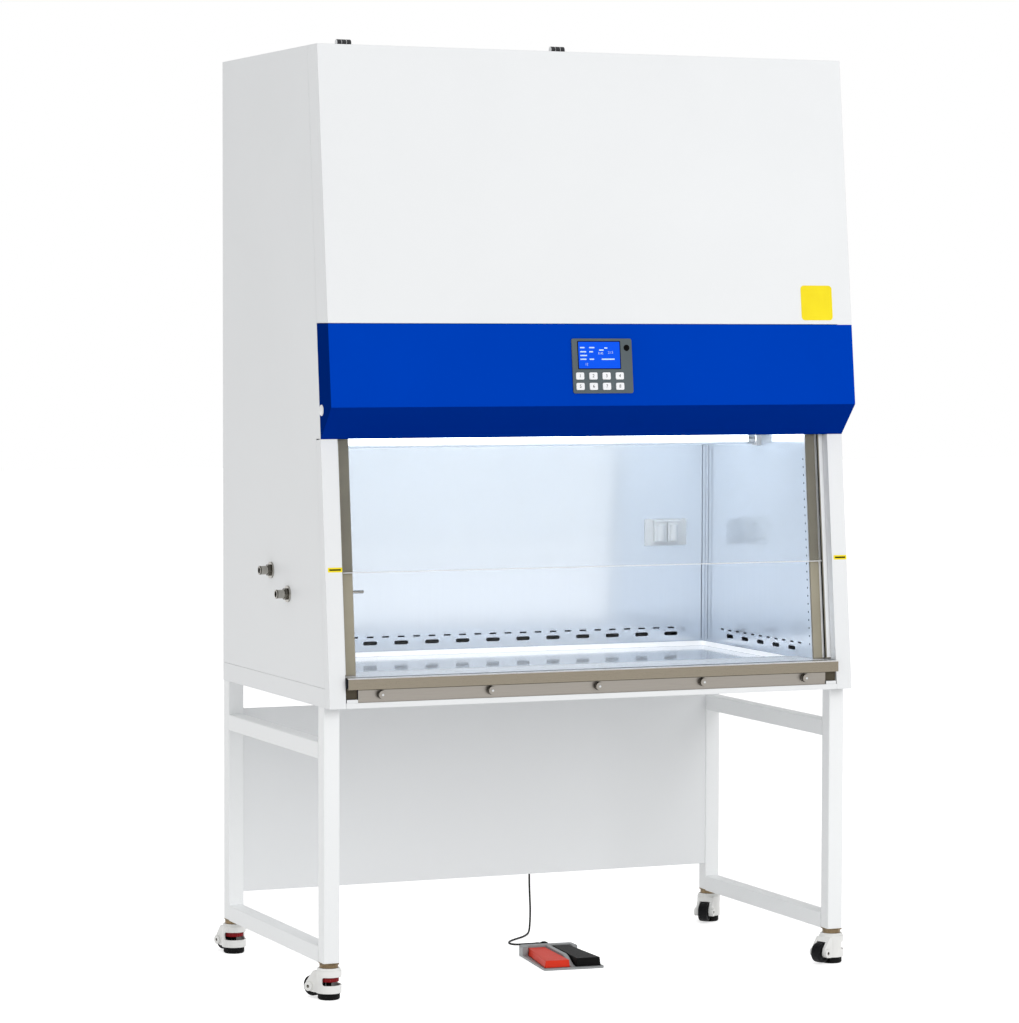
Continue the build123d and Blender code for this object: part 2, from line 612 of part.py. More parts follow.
def front_grille():
    """Slotted air intake ledge, folded down in front as the armrest."""
    nose_half = TRIM_X - NOSE_GAP
    inner_half = CHAMBER_HALF - 2 * SEAM
    step_y = front_y(GRILLE_Z - NOSE_HEIGHT, GUIDE_BACK_DEPTH) - SEAM
    rear_y = TRAY_FRONT_Y - 2 * SEAM
    low = GRILLE_Z - NOSE_HEIGHT
    nose = box(-nose_half, nose_half, NOSE_Y, step_y, low, GRILLE_Z)
    front_edge = nose.edges().filter_by(Axis.X).group_by(Axis.Y)[0].sort_by(Axis.Z)[-1]
    nose = fillet(front_edge, NOSE_RADIUS)
    sill_back = FRONT_FOOT_Y + HEM_DEPTH
    nose -= box(-nose_half - 1, nose_half + 1, NOSE_Y + SHEET, step_y + 1, low + SHEET, GRILLE_Z - SHEET)
    nose -= box(-nose_half - 1, nose_half + 1, sill_back, step_y + 1, low - 1, GRILLE_Z - SHEET)
    ledge = box(-inner_half, inner_half, step_y, rear_y, GRILLE_Z - SHEET, GRILLE_Z)
    fold = box(-inner_half, inner_half, rear_y - SHEET, rear_y, WORK_Z - TRAY_SHEET, GRILLE_Z)
    grille = nose + ledge + fold
    for index in range(GRILLE_SLOTS):
        x = (index - (GRILLE_SLOTS - 1) / 2) * GRILLE_SLOT_PITCH
        grille -= box(x - GRILLE_SLOT[0] / 2, x + GRILLE_SLOT[0] / 2, GRILLE_SLOT_Y - GRILLE_SLOT[1] / 2,
                      GRILLE_SLOT_Y + GRILLE_SLOT[1] / 2, GRILLE_Z - 2 * SHEET, GRILLE_Z + SHEET)
    return grille


def sill_strip():
    """Steel strip under the armrest, held by knurled thumb screws."""
    face_y = FRONT_FOOT_Y + HEM_DEPTH - SHEET
    strip = box(-SILL_HALF, SILL_HALF, face_y, face_y + SHEET, BASE_BOTTOM + HEM_HEIGHT, GRILLE_Z - NOSE_HEIGHT)
    pieces = [strip]
    for index in range(THUMB_SCREWS):
        x = (index - (THUMB_SCREWS - 1) / 2) * THUMB_PITCH
        head = rod_y(THUMB_RADIUS, face_y - THUMB_LENGTH, face_y - 2, x, THUMB_Z)
        collar = rod_y(THUMB_RADIUS * 0.6, face_y - 2, face_y, x, THUMB_Z)
        pieces.append(head + collar)
    return pieces


# ---------------------------------------------------------------- sash and its drive

def sash_guides():
    """Steel channels that hold the glass: back strip, web against the trim, and front lip."""
    low = along(GRILLE_Z, GUIDE_BACK_DEPTH)
    high = along(GUIDE_TOP_Z, GUIDE_BACK_DEPTH)
    strip = slope_box(CHAMBER_HALF - GUIDE_OVERLAP, TRIM_X, low, high, GUIDE_BACK_DEPTH - GUIDE_PLATE, GUIDE_BACK_DEPTH)
    web = slope_box(TRIM_X - SHEET, TRIM_X, low, high, GUIDE_FRONT_DEPTH, GUIDE_BACK_DEPTH)
    lip = slope_box(TRIM_X - GUIDE_LIP_WIDTH, TRIM_X, low, high, GUIDE_FRONT_DEPTH, GUIDE_FRONT_DEPTH + GUIDE_LIP)
    guide = strip + web + lip
    return [guide, mirrored(guide)]


GLASS_DEPTH = GUIDE_FRONT_DEPTH + GUIDE_LIP + GLASS_GAP
GLASS_HALF = TRIM_X - SHEET - 3 * CLEAR
SASH_LOW = along(SASH_BOTTOM_Z, GLASS_DEPTH)


def sash_glass():
    """Sliding front window."""
    pane = slope_box(-GLASS_HALF, GLASS_HALF, SASH_LOW, SASH_LOW + SASH_LENGTH, GLASS_DEPTH, GLASS_DEPTH + GLASS)
    return fillet(pane.edges().filter_by(Axis.X), 1.0)


def sash_rail():
    """Channel along the top of the glass, with the clamps that grip the belts."""
    top = SASH_LOW + SASH_LENGTH
    rail = slope_box(-GLASS_HALF, GLASS_HALF, top - RAIL_HEIGHT, top + RAIL_WALL, GLASS_DEPTH - RAIL_WALL,
                     GLASS_DEPTH + GLASS + RAIL_WALL)
    rail -= slope_box(-GLASS_HALF, GLASS_HALF, top - RAIL_HEIGHT - 1, top, GLASS_DEPTH, GLASS_DEPTH + GLASS)
    half = BELT_WIDTH / 2
    belt_back = PULLEY_RADIUS - PULLEY_PROUD + BELT_GAP + BELT
    clamp = slope_box(PULLEY_CENTRE_X - half, PULLEY_CENTRE_X + half, top - RAIL_HEIGHT, top - RAIL_HEIGHT / 3,
                      belt_back + BELT_GAP, GLASS_DEPTH - RAIL_WALL)
    return rail + clamp + mirrored(clamp)


def pulley_axis(z):
    """Y and Z of a pulley's centre at height z, in front of the side plane."""
    return front_y(z, -PULLEY_PROUD), z


def drive_shaft():
    """Shaft across the top of the sash drive with a belt pulley at each end."""
    y, z = pulley_axis(DRIVE_Z)
    shaft = rod_x(SHAFT_RADIUS, -SHAFT_HALF, SHAFT_END, y, z)
    half = PULLEY_WIDTH / 2
    for side in (-1, 1):
        x = side * PULLEY_CENTRE_X
        shaft += rod_x(PULLEY_RADIUS, x - half, x + half, y, z)
        for end in (-1, 1):
            edge = x + end * half
            shaft += rod_x(PULLEY_RADIUS + BELT, edge - end * SHEET - SHEET / 2, edge - end * SHEET + SHEET / 2, y, z)
    return shaft


def idler_pulleys():
    """Two lower pulleys on their own stub axles."""
    y, z = pulley_axis(IDLER_Z)
    half = PULLEY_WIDTH / 2
    pulley = rod_x(PULLEY_RADIUS, PULLEY_CENTRE_X - half, PULLEY_CENTRE_X + half, y, z)
    pulley -= rod_x(IDLER_AXLE_RADIUS + RUNNING_GAP, PULLEY_CENTRE_X - PULLEY_WIDTH, PULLEY_CENTRE_X + PULLEY_WIDTH,
                    y, z)
    return [pulley, mirrored(pulley)]


def drive_belts():
    """Endless belts round the drive pulleys and the idlers."""
    drive = pulley_axis(DRIVE_Z)
    idler = pulley_axis(IDLER_Z)
    length = ((drive[0] - idler[0]) ** 2 + (drive[1] - idler[1]) ** 2) ** 0.5
    inner = PULLEY_RADIUS + BELT_GAP
    middle = along(IDLER_Z, -PULLEY_PROUD) + length / 2
    loop = SlotCenterToCenter(length, 2 * (inner + BELT)) - SlotCenterToCenter(length, 2 * inner)
    # the loop lies in the plane across X, long up the slope
    across = Plane(origin=(0, 0, 0), x_dir=(0, 1, 0), z_dir=(1, 0, 0))
    band = extrude(across.location * loop, amount=BELT_WIDTH / 2, both=True)
    belt = SLOPE.location * Pos(PULLEY_CENTRE_X, middle, PULLEY_PROUD) * band
    return [belt, mirrored(belt)]


def sash_motor():
    """Gear motor on the shaft's right end, the shaft's bearing ears and the idlers' brackets."""
    y, z = pulley_axis(DRIVE_Z)
    outside = CHAMBER_HALF + LINER
    bore = SHAFT_RADIUS + RUNNING_GAP
    ear = box(outside, outside + EAR, y - 2 * SHAFT_RADIUS, PLENUM_FRONT_Y + MOTOR_SIZE / 2, z - 2 * SHAFT_RADIUS,
              z + 2 * SHAFT_RADIUS)
    ear -= rod_x(bore, outside - 1, outside + EAR + 1, y, z)
    half = MOTOR_SIZE / 2
    motor = box(outside + EAR, MOTOR_END_X, y - half, y + half, z - half, z + half)
    motor = chamfer(motor.edges().filter_by(Axis.X), 6.0)
    motor -= rod_x(bore, outside, SHAFT_END + CLEAR, y, z)
    bracket = idler_bracket()
    return [ear, mirrored(ear), motor, bracket, mirrored(bracket)]


def idler_bracket():
    """Bracket on the guide's front lip with the idler's stub axle."""
    y, z = pulley_axis(IDLER_Z)
    s = along(IDLER_Z, -PULLEY_PROUD)
    outside = PULLEY_CENTRE_X + PULLEY_WIDTH / 2 + 2.0
    foot = slope_box(outside, TRIM_X, s - 25, s + 25, GUIDE_FRONT_DEPTH - 3, GUIDE_FRONT_DEPTH)
    cheek = slope_box(outside, outside + 3, s - 12, s + 12, -PULLEY_PROUD - 12, GUIDE_FRONT_DEPTH - 3)
    axle = rod_x(IDLER_AXLE_RADIUS, PULLEY_CENTRE_X - PULLEY_WIDTH / 2 - 2, outside, y, z)
    return foot + cheek + axle


# ---------------------------------------------------------------- lamps, sockets and taps

def tube_lamp(length, half_span, y, z):
    """Straight lamp tube between its two holders, which end at half_span from the middle."""
    tube = rod_x(LAMP_RADIUS, -length / 2, length / 2, y, z)
    pieces = [tube]
    for side in (-1, 1):
        low, high = sorted((side * length / 2, side * half_span))
        pieces.append(box(low, high, y - LAMP_HOLDER / 2, y + LAMP_HOLDER / 2, z - LAMP_HOLDER / 2,
                          z + LAMP_HOLDER / 2))
    return pieces


def chamber_lamps():
    """White lamp between the side walls and ultraviolet lamp along the back wall."""
    pieces = tube_lamp(LAMP_LENGTH, CHAMBER_HALF, LAMP_Y, LAMP_Z)
    uv = tube_lamp(UV_LENGTH, UV_LENGTH / 2 + UV_HOLDER, UV_Y, UV_Z)
    for side in (-1, 1):
        low, high = sorted((side * UV_LENGTH / 2, side * (UV_LENGTH / 2 + UV_HOLDER)))
        uv[1 if side < 0 else 2] += box(low, high, UV_Y, CHAMBER_BACK_Y, UV_Z - 8, UV_Z + 8)
    return pieces + uv


def socket_plate():
    """Plate on the back wall with two slotted outlets and the flaps' hinge pin."""
    x, z = SOCKET_CENTRE
    plate = box(x - SOCKET_PLATE[0] / 2, x + SOCKET_PLATE[0] / 2, CHAMBER_BACK_Y - SOCKET_PLATE[2], CHAMBER_BACK_Y,
                z - SOCKET_PLATE[1] / 2, z + SOCKET_PLATE[1] / 2)
    plate = fillet(plate.edges().filter_by(Axis.Y), 4.0)
    face = CHAMBER_BACK_Y - SOCKET_PLATE[2]
    for side in (-1, 1):
        centre = x + side * SOCKET_PITCH / 2
        plate += box(centre - SOCKET_OUTLET[0] / 2, centre + SOCKET_OUTLET[0] / 2, face - SOCKET_OUTLET[2], face,
                     z - SOCKET_OUTLET[1] / 2, z + SOCKET_OUTLET[1] / 2)
        for pin_x, pin_z in ((0, 10), (-6, -8), (6, -8)):
            plate -= box(centre + pin_x - 1, centre + pin_x + 1, face - SOCKET_OUTLET[2] - 1, face + 2,
                         z + pin_z - 3.5, z + pin_z + 3.5)
    pin_y, pin_z = flap_pin()
    plate += rod_x(FLAP_PIN_RADIUS, x - SOCKET_PITCH - 2, x + SOCKET_PITCH + 2, pin_y, pin_z)
    for lug in (-1, 0, 1):
        plate += box(x + lug * SOCKET_PITCH - 0.8, x + lug * SOCKET_PITCH + 0.8, pin_y - 3, face, pin_z - 3, pin_z + 3)
    return plate


def flap_pin():
    """Y and Z of the pin that both socket flaps swing on."""
    face = CHAMBER_BACK_Y - SOCKET_PLATE[2] - SOCKET_OUTLET[2]
    return face - FLAP[2] / 2 - CLEAR, SOCKET_CENTRE[1] + SOCKET_OUTLET[1] / 2 + 4


def socket_flap(side):
    """Spring-free cover over one outlet, hanging from the pin, with a raised rib."""
    pin_y, pin_z = flap_pin()
    x = SOCKET_CENTRE[0] + side * SOCKET_PITCH / 2
    half = SOCKET_PITCH / 2 - 1.2
    back = pin_y + FLAP[2] / 2
    leaf = box(x - half, x + half, back - FLAP[2], back, pin_z - FLAP[1], pin_z)
    leaf += rod_x(3.0, x - half, x + half, pin_y, pin_z)
    rib = rod_z(half * 0.62, pin_z - FLAP[1] + 3, pin_z - 8, x, back - FLAP[2])
    rib -= box(x - half, x + half, back - FLAP[2] / 2, back + 40, pin_z - 2 * FLAP[1], pin_z + 10)
    leaf += rib
    return leaf - rod_x(FLAP_PIN_RADIUS + RUNNING_GAP, x - half - 1, x + half + 1, pin_y, pin_z)


def service_taps():
    """Pipes through the left side: hose end outside, tap body and nozzle inside."""
    taps = []
    for y, z in TAPS:
        inside = -CHAMBER_HALF + TAP_BODY_LENGTH
        pipe = rod_x(TAP_PIPE_RADIUS, -SIDE_X - TAP_REACH, -CHAMBER_HALF + 1, y, z)
        tap = pipe + rod_x(TAP_FLANGE_RADIUS, -SIDE_X - TAP_FLANGE, -SIDE_X, y, z)
        tap += rod_x(TAP_FLANGE_RADIUS, -CHAMBER_HALF, -CHAMBER_HALF + TAP_FLANGE, y, z)
        tap += rod_x(TAP_BODY_RADIUS, -CHAMBER_HALF, inside, y, z)
        tap += rod_x(TAP_NOZZLE_RADIUS, inside - 1, inside + TAP_NOZZLE_LENGTH, y, z)
        tap += rod_z(TAP_STEM_RADIUS, z, z + TAP_BODY_RADIUS + TAP_STEM_HEIGHT, tap_stem_x(), y)
        tap += rod_z(TAP_BODY_RADIUS * 0.6, z, z + TAP_BODY_RADIUS + 6, tap_stem_x(), y)
        tap -= rod_x(TAP_BORE, -SIDE_X - TAP_REACH - 1, -SIDE_X + 30, y, z)
        taps.append(tap)
    return taps


def tap_stem_x():
    """X of the tap knobs' axis."""
    return -CHAMBER_HALF + TAP_BODY_LENGTH * 0.6


def tap_knob(y, z):
    """Five-lobed knob on the tap's stem."""
    low = z + TAP_BODY_RADIUS + 8
    knob = rod_z(TAP_KNOB_RADIUS, low, low + TAP_KNOB_HEIGHT, tap_stem_x(), y)
    for lobe in range(5):
        angle = radians(72 * lobe)
        reach = TAP_KNOB_RADIUS + 3
        knob -= rod_z(6.0, low - 1, low + TAP_KNOB_HEIGHT + 1, tap_stem_x() + reach * cos(angle),
                      y + reach * sin(angle))
    return knob - rod_z(TAP_STEM_RADIUS + RUNNING_GAP, low - 1, z + TAP_BODY_RADIUS + TAP_STEM_HEIGHT + CLEAR,
                        tap_stem_x(), y)


# ---------------------------------------------------------------- filters and blower

def framed_filter(x_half, y_low, y_high, z_low, z_high):
    """Filter frame with its pleated pack set in from both faces."""
    frame = box(-x_half, x_half, y_low, y_high, z_low, z_high)
    frame -= box(-x_half + FILTER_FRAME, x_half - FILTER_FRAME, y_low + FILTER_FRAME, y_high - FILTER_FRAME,
                 z_low - 1, z_high + 1)
    pack = box(-x_half + FILTER_FRAME, x_half - FILTER_FRAME, y_low + FILTER_FRAME, y_high - FILTER_FRAME,
               z_low + FILTER_FRAME, z_high - FILTER_FRAME)
    return [frame, pack]


def air_filters():
    """Supply filter on the ceiling and exhaust filter under the roof."""
    supply = framed_filter(CHAMBER_HALF - SEAM, PLENUM_FRONT_Y + SEAM, CHAMBER_BACK_Y - SEAM, CEILING_Z,
                           CEILING_Z + SUPPLY_HEIGHT)
    roof = HEIGHT - SHEET
    exhaust = framed_filter(EXHAUST_SIZE[0] / 2, EXHAUST_Y - EXHAUST_SIZE[1] / 2, EXHAUST_Y + EXHAUST_SIZE[1] / 2,
                            roof - EXHAUST_SIZE[2], roof)
    return supply + exhaust


def scroll_face(inset):
    """Scroll outline drawn in the X-Z plane: a growing spiral of arcs and a straight outlet."""
    def point(turn):
        reach = SCROLL_START + SCROLL_GROWTH * turn / 360 - inset
        return (reach * cos(radians(turn)), BLOWER_Z - reach * sin(radians(turn)))
    edges = [ThreePointArc(point(turn), point(turn + 45), point(turn + 90)) for turn in range(0, 360, 90)]
    right = SCROLL_START + SCROLL_GROWTH - inset
    left = SCROLL_START + SCROLL_TONGUE + inset
    outlet = [(right, BLOWER_Z), (right, SCROLL_OUTLET_Z), (left, SCROLL_OUTLET_Z), (left, BLOWER_Z + inset),
              (SCROLL_START - inset, BLOWER_Z + inset)]
    if inset:
        # the passage turns round the tongue, a wall's thickness above it
        outlet.append((SCROLL_START - inset, BLOWER_Z))
    edges += [Polyline(*outlet)]
    return make_face(edges)


def blower_housing():
    """Scroll on the back wall of the plenum, open at its outlet, and the motor on its front."""
    back = CHAMBER_BACK_Y
    front = back - BLOWER_WIDTH
    plane = Plane(origin=(0, back, 0), x_dir=(1, 0, 0), z_dir=(0, -1, 0))
    scroll = extrude(plane.location * scroll_face(0), amount=BLOWER_WIDTH)
    inner_plane = Plane(origin=(0, back - SHEET, 0), x_dir=(1, 0, 0), z_dir=(0, -1, 0))
    scroll -= extrude(inner_plane.location * scroll_face(SHEET), amount=BLOWER_WIDTH - 2 * SHEET)
    scroll -= rod_y(INLET_RADIUS - 6, back - 2 * SHEET, back + 1, 0, BLOWER_Z)
    scroll -= rod_y(FAN_SHAFT_RADIUS + 4, front - 1, front + 2 * SHEET, 0, BLOWER_Z)
    motor = rod_y(FAN_MOTOR_RADIUS, front - FAN_MOTOR_LENGTH, front, 0, BLOWER_Z)
    motor -= rod_y(FAN_SHAFT_RADIUS + RUNNING_GAP, front - FAN_MOTOR_LENGTH + 8, front + 1, 0, BLOWER_Z)
    return [scroll, motor]


def blower_wheel():
    """Impeller with forward-curved blades between a back plate and a rim, on its shaft."""
    back = CHAMBER_BACK_Y - SHEET - WHEEL_GAP
    front = CHAMBER_BACK_Y - BLOWER_WIDTH + SHEET + WHEEL_GAP
    wheel = rod_y(WHEEL_OUTER, front, front + 3, 0, BLOWER_Z)
    rim = rod_y(WHEEL_OUTER, back - 6, back, 0, BLOWER_Z) - rod_y(WHEEL_INNER, back - 7, back + 1, 0, BLOWER_Z)
    wheel += rim
    motor_front = CHAMBER_BACK_Y - BLOWER_WIDTH - FAN_MOTOR_LENGTH + 10
    wheel += rod_y(FAN_SHAFT_RADIUS, motor_front, front + 30, 0, BLOWER_Z)
    middle = (WHEEL_INNER + WHEEL_OUTER) / 2
    curve = (WHEEL_OUTER - WHEEL_INNER) * 0.62
    ring = Pos(0, 0) * Circle(curve) - Circle(curve - BLADE)
    half = ring & Pos(curve, 0) * Rectangle(2 * curve, 1.9 * curve)
    for index in range(BLADES):
        section = Rot(0, 0, 360 * index / BLADES) * Pos(middle, 0) * Rot(0, 0, 90) * Pos(-curve * 0.7, 0) * half
        plane = Plane(origin=(0, back - 1, BLOWER_Z), x_dir=(1, 0, 0), z_dir=(0, -1, 0))
        wheel += extrude(plane.location * section, amount=back - front - 2)
    return wheel


# ---------------------------------------------------------------- stand

def tube_box(x_low, x_high, y_low, y_high, z_low, z_high, axis):
    """A square steel tube with rounded edges and closed ends."""
    outer = box(x_low, x_high, y_low, y_high, z_low, z_high)
    outer = fillet(outer.edges().filter_by(axis), TUBE_RADIUS)
    wall = TUBE_WALL
    return outer - box(x_low + wall, x_high - wall, y_low + wall, y_high - wall, z_low + wall, z_high - wall)


def post_places():
    """Centre of each post, by corner."""
    x = SIDE_X - TUBE / 2
    return {"front_left": (-x, FRONT_POST_Y), "front_right": (x, FRONT_POST_Y),
            "rear_left": (-x, REAR_POST_Y), "rear_right": (x, REAR_POST_Y)}


def stand_frame():
    """Four posts and two rails on each side."""
    half = TUBE / 2
    pieces = [tube_box(x - half, x + half, y - half, y + half, POST_BOTTOM, BASE_BOTTOM, Axis.Z)
              for x, y in post_places().values()]
    for side in (-1, 1):
        x = side * (SIDE_X - half)
        for z in (RAIL_LOW_Z, RAIL_HIGH_Z):
            pieces.append(tube_box(x - half, x + half, FRONT_POST_Y + half, REAR_POST_Y - half, z - half,
                                   z + half, Axis.Y))
    return pieces


def modesty_panel():
    """Sheet between the rear posts with folded edges."""
    half = SIDE_X - TUBE
    y = MODESTY_Y
    sheet = box(-half, half, y, y + SHEET, MODESTY_Z[0], MODESTY_Z[1])
    for z in MODESTY_Z:
        low, high = sorted((z, z + (SHEET if z == MODESTY_Z[0] else -SHEET)))
        sheet += box(-half, half, y, y + MODESTY_FOLD, low, high)
    return sheet


# ---------------------------------------------------------------- levelling casters
# Each is modelled with its swivel axis on z and its wheel trailing towards +X.

def caster_plate():
    """Top plate and swivel race, with a bored spigot for the housing."""
    half = TUBE / 2
    plate = fillet(box(-half, half, -half, half, POST_BOTTOM - RACE_PLATE, POST_BOTTOM).edges().filter_by(Axis.Z),
                   TUBE_RADIUS)
    race = rod_z(RACE_RADIUS, HOUSING_TOP + CLEAR, POST_BOTTOM - RACE_PLATE)
    spigot = rod_z(SPIGOT_RADIUS, HOUSING_TOP + CLEAR - SPIGOT_LENGTH, HOUSING_TOP + 2 * CLEAR)
    bore = rod_z(STEM_RADIUS + CLEAR, HOUSING_TOP - SPIGOT_LENGTH, STEM_TOP + FOOT_RISE + 3)
    return plate + race + spigot - bore


def caster_housing():
    """Die-cast housing: a cup with a window for the thumbwheel and two cheeks for the wheel."""
    roof = WINDOW_Z[1]
    cup = rod_z(HOUSING_RADIUS, HOUSING_BOTTOM, HOUSING_TOP)
    cup = fillet(cup.edges().group_by(Axis.Z)[-1], 3.0)
    shoulder = HOUSING_TOP - 3
    nose = TRAIL + LOBE_RADIUS
    outline = Polyline((0, 0, shoulder), (TRAIL - LOBE_RADIUS, 0, shoulder), (nose - 2, 0, AXLE_Z + LOBE_RADIUS),
                       (nose, 0, AXLE_Z), (TRAIL, 0, AXLE_Z - LOBE_RADIUS), (TRAIL - LOBE_RADIUS, 0, HOUSING_BOTTOM),
                       (0, 0, HOUSING_BOTTOM), close=True)
    fork = extrude(make_face(outline), amount=CHEEK_OUTER, both=True, dir=(0, 1, 0))
    housing = cup + fork + rod_y(LOBE_RADIUS, -LOBE_OUTER, LOBE_OUTER, TRAIL, AXLE_Z)
    housing -= rod_z(HOUSING_RADIUS - HOUSING_WALL, HOUSING_BOTTOM - 20, roof)
    # wheel well between the cheeks, open at the back and below
    well = WHEEL_RADIUS + WHEEL_CLEAR
    housing -= rod_y(well, -CHEEK_INNER, CHEEK_INNER, TRAIL, AXLE_Z)
    housing -= box(0, TRAIL + 2 * well, -CHEEK_INNER, CHEEK_INNER, AXLE_Z - 2 * well, AXLE_Z)
    housing -= box(TRAIL, TRAIL + 2 * well, -CHEEK_INNER, CHEEK_INNER, AXLE_Z, AXLE_Z + well)
    # window on the side away from the wheel
    window = box(-2 * HOUSING_RADIUS, -2, -2 * HOUSING_RADIUS, 2 * HOUSING_RADIUS, WINDOW_Z[0], WINDOW_Z[1])
    housing -= fillet(window.edges().filter_by(Axis.Y).group_by(Axis.X)[-1], 6.0)
    housing -= rod_z(SPIGOT_RADIUS + RUNNING_GAP, roof - 1, HOUSING_TOP + 1)
    return housing + rod_y(AXLE_RADIUS, -LOBE_OUTER, LOBE_OUTER, TRAIL, AXLE_Z)


def caster_wheel():
    """Rolling wheel with rounded tread, bored for its axle."""
    wheel = rod_y(WHEEL_RADIUS, -WHEEL_WIDTH / 2, WHEEL_WIDTH / 2, TRAIL, AXLE_Z)
    wheel = fillet(wheel.edges().filter_by(GeomType.CIRCLE), 3.0)
    for side in (-1, 1):
        face = side * WHEEL_WIDTH / 2
        recess = rod_y(WHEEL_RADIUS - 7, face - 2, face + 2, TRAIL, AXLE_Z)
        wheel -= recess - rod_y(8.0, face - 3, face + 3, TRAIL, AXLE_Z)
    return wheel - rod_y(AXLE_RADIUS + RUNNING_GAP, -WHEEL_WIDTH, WHEEL_WIDTH, TRAIL, AXLE_Z)


def thumbwheel_span():
    """Lowest and highest Z of the thumbwheel, which bears on the housing's roof."""
    top = WINDOW_Z[1] - SEAT_GAP
    return top - THUMB_WHEEL_THICK, top


def caster_thumbwheel():
    """Notched nut wheel that raises and lowers the foot."""
    low, high = thumbwheel_span()
    wheel = rod_z(THUMB_WHEEL_RADIUS, low, high)
    for index in range(THUMB_NOTCHES):
        angle = 2 * pi * index / THUMB_NOTCHES
        reach = THUMB_WHEEL_RADIUS + THUMB_NOTCH_RADIUS * 0.4
        wheel -= rod_z(THUMB_NOTCH_RADIUS, low - 1, high + 1, reach * cos(angle), reach * sin(angle))
    return wheel - rod_z(STEM_RADIUS + RUNNING_GAP, low - 1, high + 1)


def caster_foot():
    """Levelling foot on its screw, scooped out where the wheel stands."""
    foot = rod_z(FOOT_RADIUS, 0, FOOT_HEIGHT)
    foot = chamfer(foot.edges().group_by(Axis.Z)[0], FOOT_TREAD)
    reach = WHEEL_RADIUS + WHEEL_CLEAR
    for lift in (0, FOOT_RISE, -FOOT_DROP):
        foot -= rod_y(reach, -CHEEK_INNER, CHEEK_INNER, TRAIL, AXLE_Z - lift)
    foot -= box(TRAIL - reach, 2 * TRAIL, -CHEEK_INNER, CHEEK_INNER, AXLE_Z - FOOT_RISE, AXLE_Z + FOOT_DROP)
    return foot + rod_z(STEM_RADIUS, FOOT_HEIGHT - 1, STEM_TOP)


def placed_caster(shape, corner, turned=True):
    """A caster piece moved under its post, and turned with its housing."""
    x, y = post_places()[corner]
    return Pos(x, y, 0) * Rot(0, 0, CASTER_ANGLES[corner] if turned else 0) * shape


# ---------------------------------------------------------------- foot switch

SWITCH = Location((SWITCH_CORNER[0], SWITCH_CORNER[1], 0), (0, 0, SWITCH_TURN))


def switch_outline():
    """Plan of the switch: a trapezoid with rounded corners."""
    taper = (SWITCH_FRONT - SWITCH_REAR) / 2
    plan = make_face(Polyline((0, 0), (SWITCH_FRONT, 0), (SWITCH_FRONT - taper, SWITCH_DEPTH), (taper, SWITCH_DEPTH),
                              close=True))
    return fillet(plan.vertices(), SWITCH_CORNER_RADIUS)


def pedal_outline(grow=0.0):
    """Plan of the right pedal, wide at the front and narrower between the hood's arms, grown by a margin."""
    middle = SWITCH_FRONT / 2
    inner = middle + DIVIDER / 2 + PEDAL_GAP - grow
    outer_front = 2 * middle - PEDAL_EDGE + grow
    outer_back = middle + SWITCH_REAR / 2 - ARM_WIDTH - PEDAL_GAP + grow
    low, high = PEDAL_FRONT_Y - grow, PEDAL_BACK_Y + grow
    return make_face(Polyline((inner, low), (outer_front, low), (outer_back, high), (inner, high), close=True))


def other_side(shape):
    """The same shape on the other side of the switch's middle."""
    return mirror(shape, about=Plane(origin=(SWITCH_FRONT / 2, 0, 0), z_dir=(1, 0, 0)))


def pedal_base():
    """Cast base: plate with a well under each pedal, rear hood with two arms, divider, and the hinge pin."""
    base = extrude(switch_outline(), amount=SWITCH_PLATE)
    well = Pos(0, 0, WELL_FLOOR) * extrude(pedal_outline(WELL_GAP), amount=SWITCH_PLATE)
    base -= well + other_side(well)
    block = extrude(switch_outline(), amount=HOOD_TOP_Z)
    block = fillet(block.edges().group_by(Axis.Z)[-1], HOOD_ROUND)
    hood = block - box(-1, SWITCH_FRONT + 1, -1, ARM_FRONT_Y, -1, HOOD_TOP_Z + 1)
    inner = SWITCH_REAR / 2 - ARM_WIDTH
    hood -= box(SWITCH_FRONT / 2 - inner, SWITCH_FRONT / 2 + inner, -1, HOOD_FRONT_Y, -1, HOOD_TOP_Z + 1)
    low, high = SWITCH_FRONT / 2 - DIVIDER / 2, SWITCH_FRONT / 2 + DIVIDER / 2
    slope = Spline((low, DIVIDER_BEND_Y, DIVIDER_TOP_Z), (low, DIVIDER_FRONT_Y, SWITCH_PLATE + 0.5),
                   tangents=((0, -1, 0), (0, -1, 0)))
    rest = Polyline((low, DIVIDER_FRONT_Y, SWITCH_PLATE + 0.5), (low, DIVIDER_FRONT_Y, 0),
                    (low, HOOD_FRONT_Y + 1, 0), (low, HOOD_FRONT_Y + 1, DIVIDER_TOP_Z),
                    (low, DIVIDER_BEND_Y, DIVIDER_TOP_Z))
    divider = extrude(make_face([slope, rest]), amount=DIVIDER, dir=(1, 0, 0))
    pin = rod_x(PEDAL_PIN_RADIUS, SWITCH_FRONT / 2 - inner - 1, SWITCH_FRONT / 2 + inner + 1, PEDAL_PIN_Y, PEDAL_PIN_Z)
    return SWITCH * (base + hood + divider + pin)


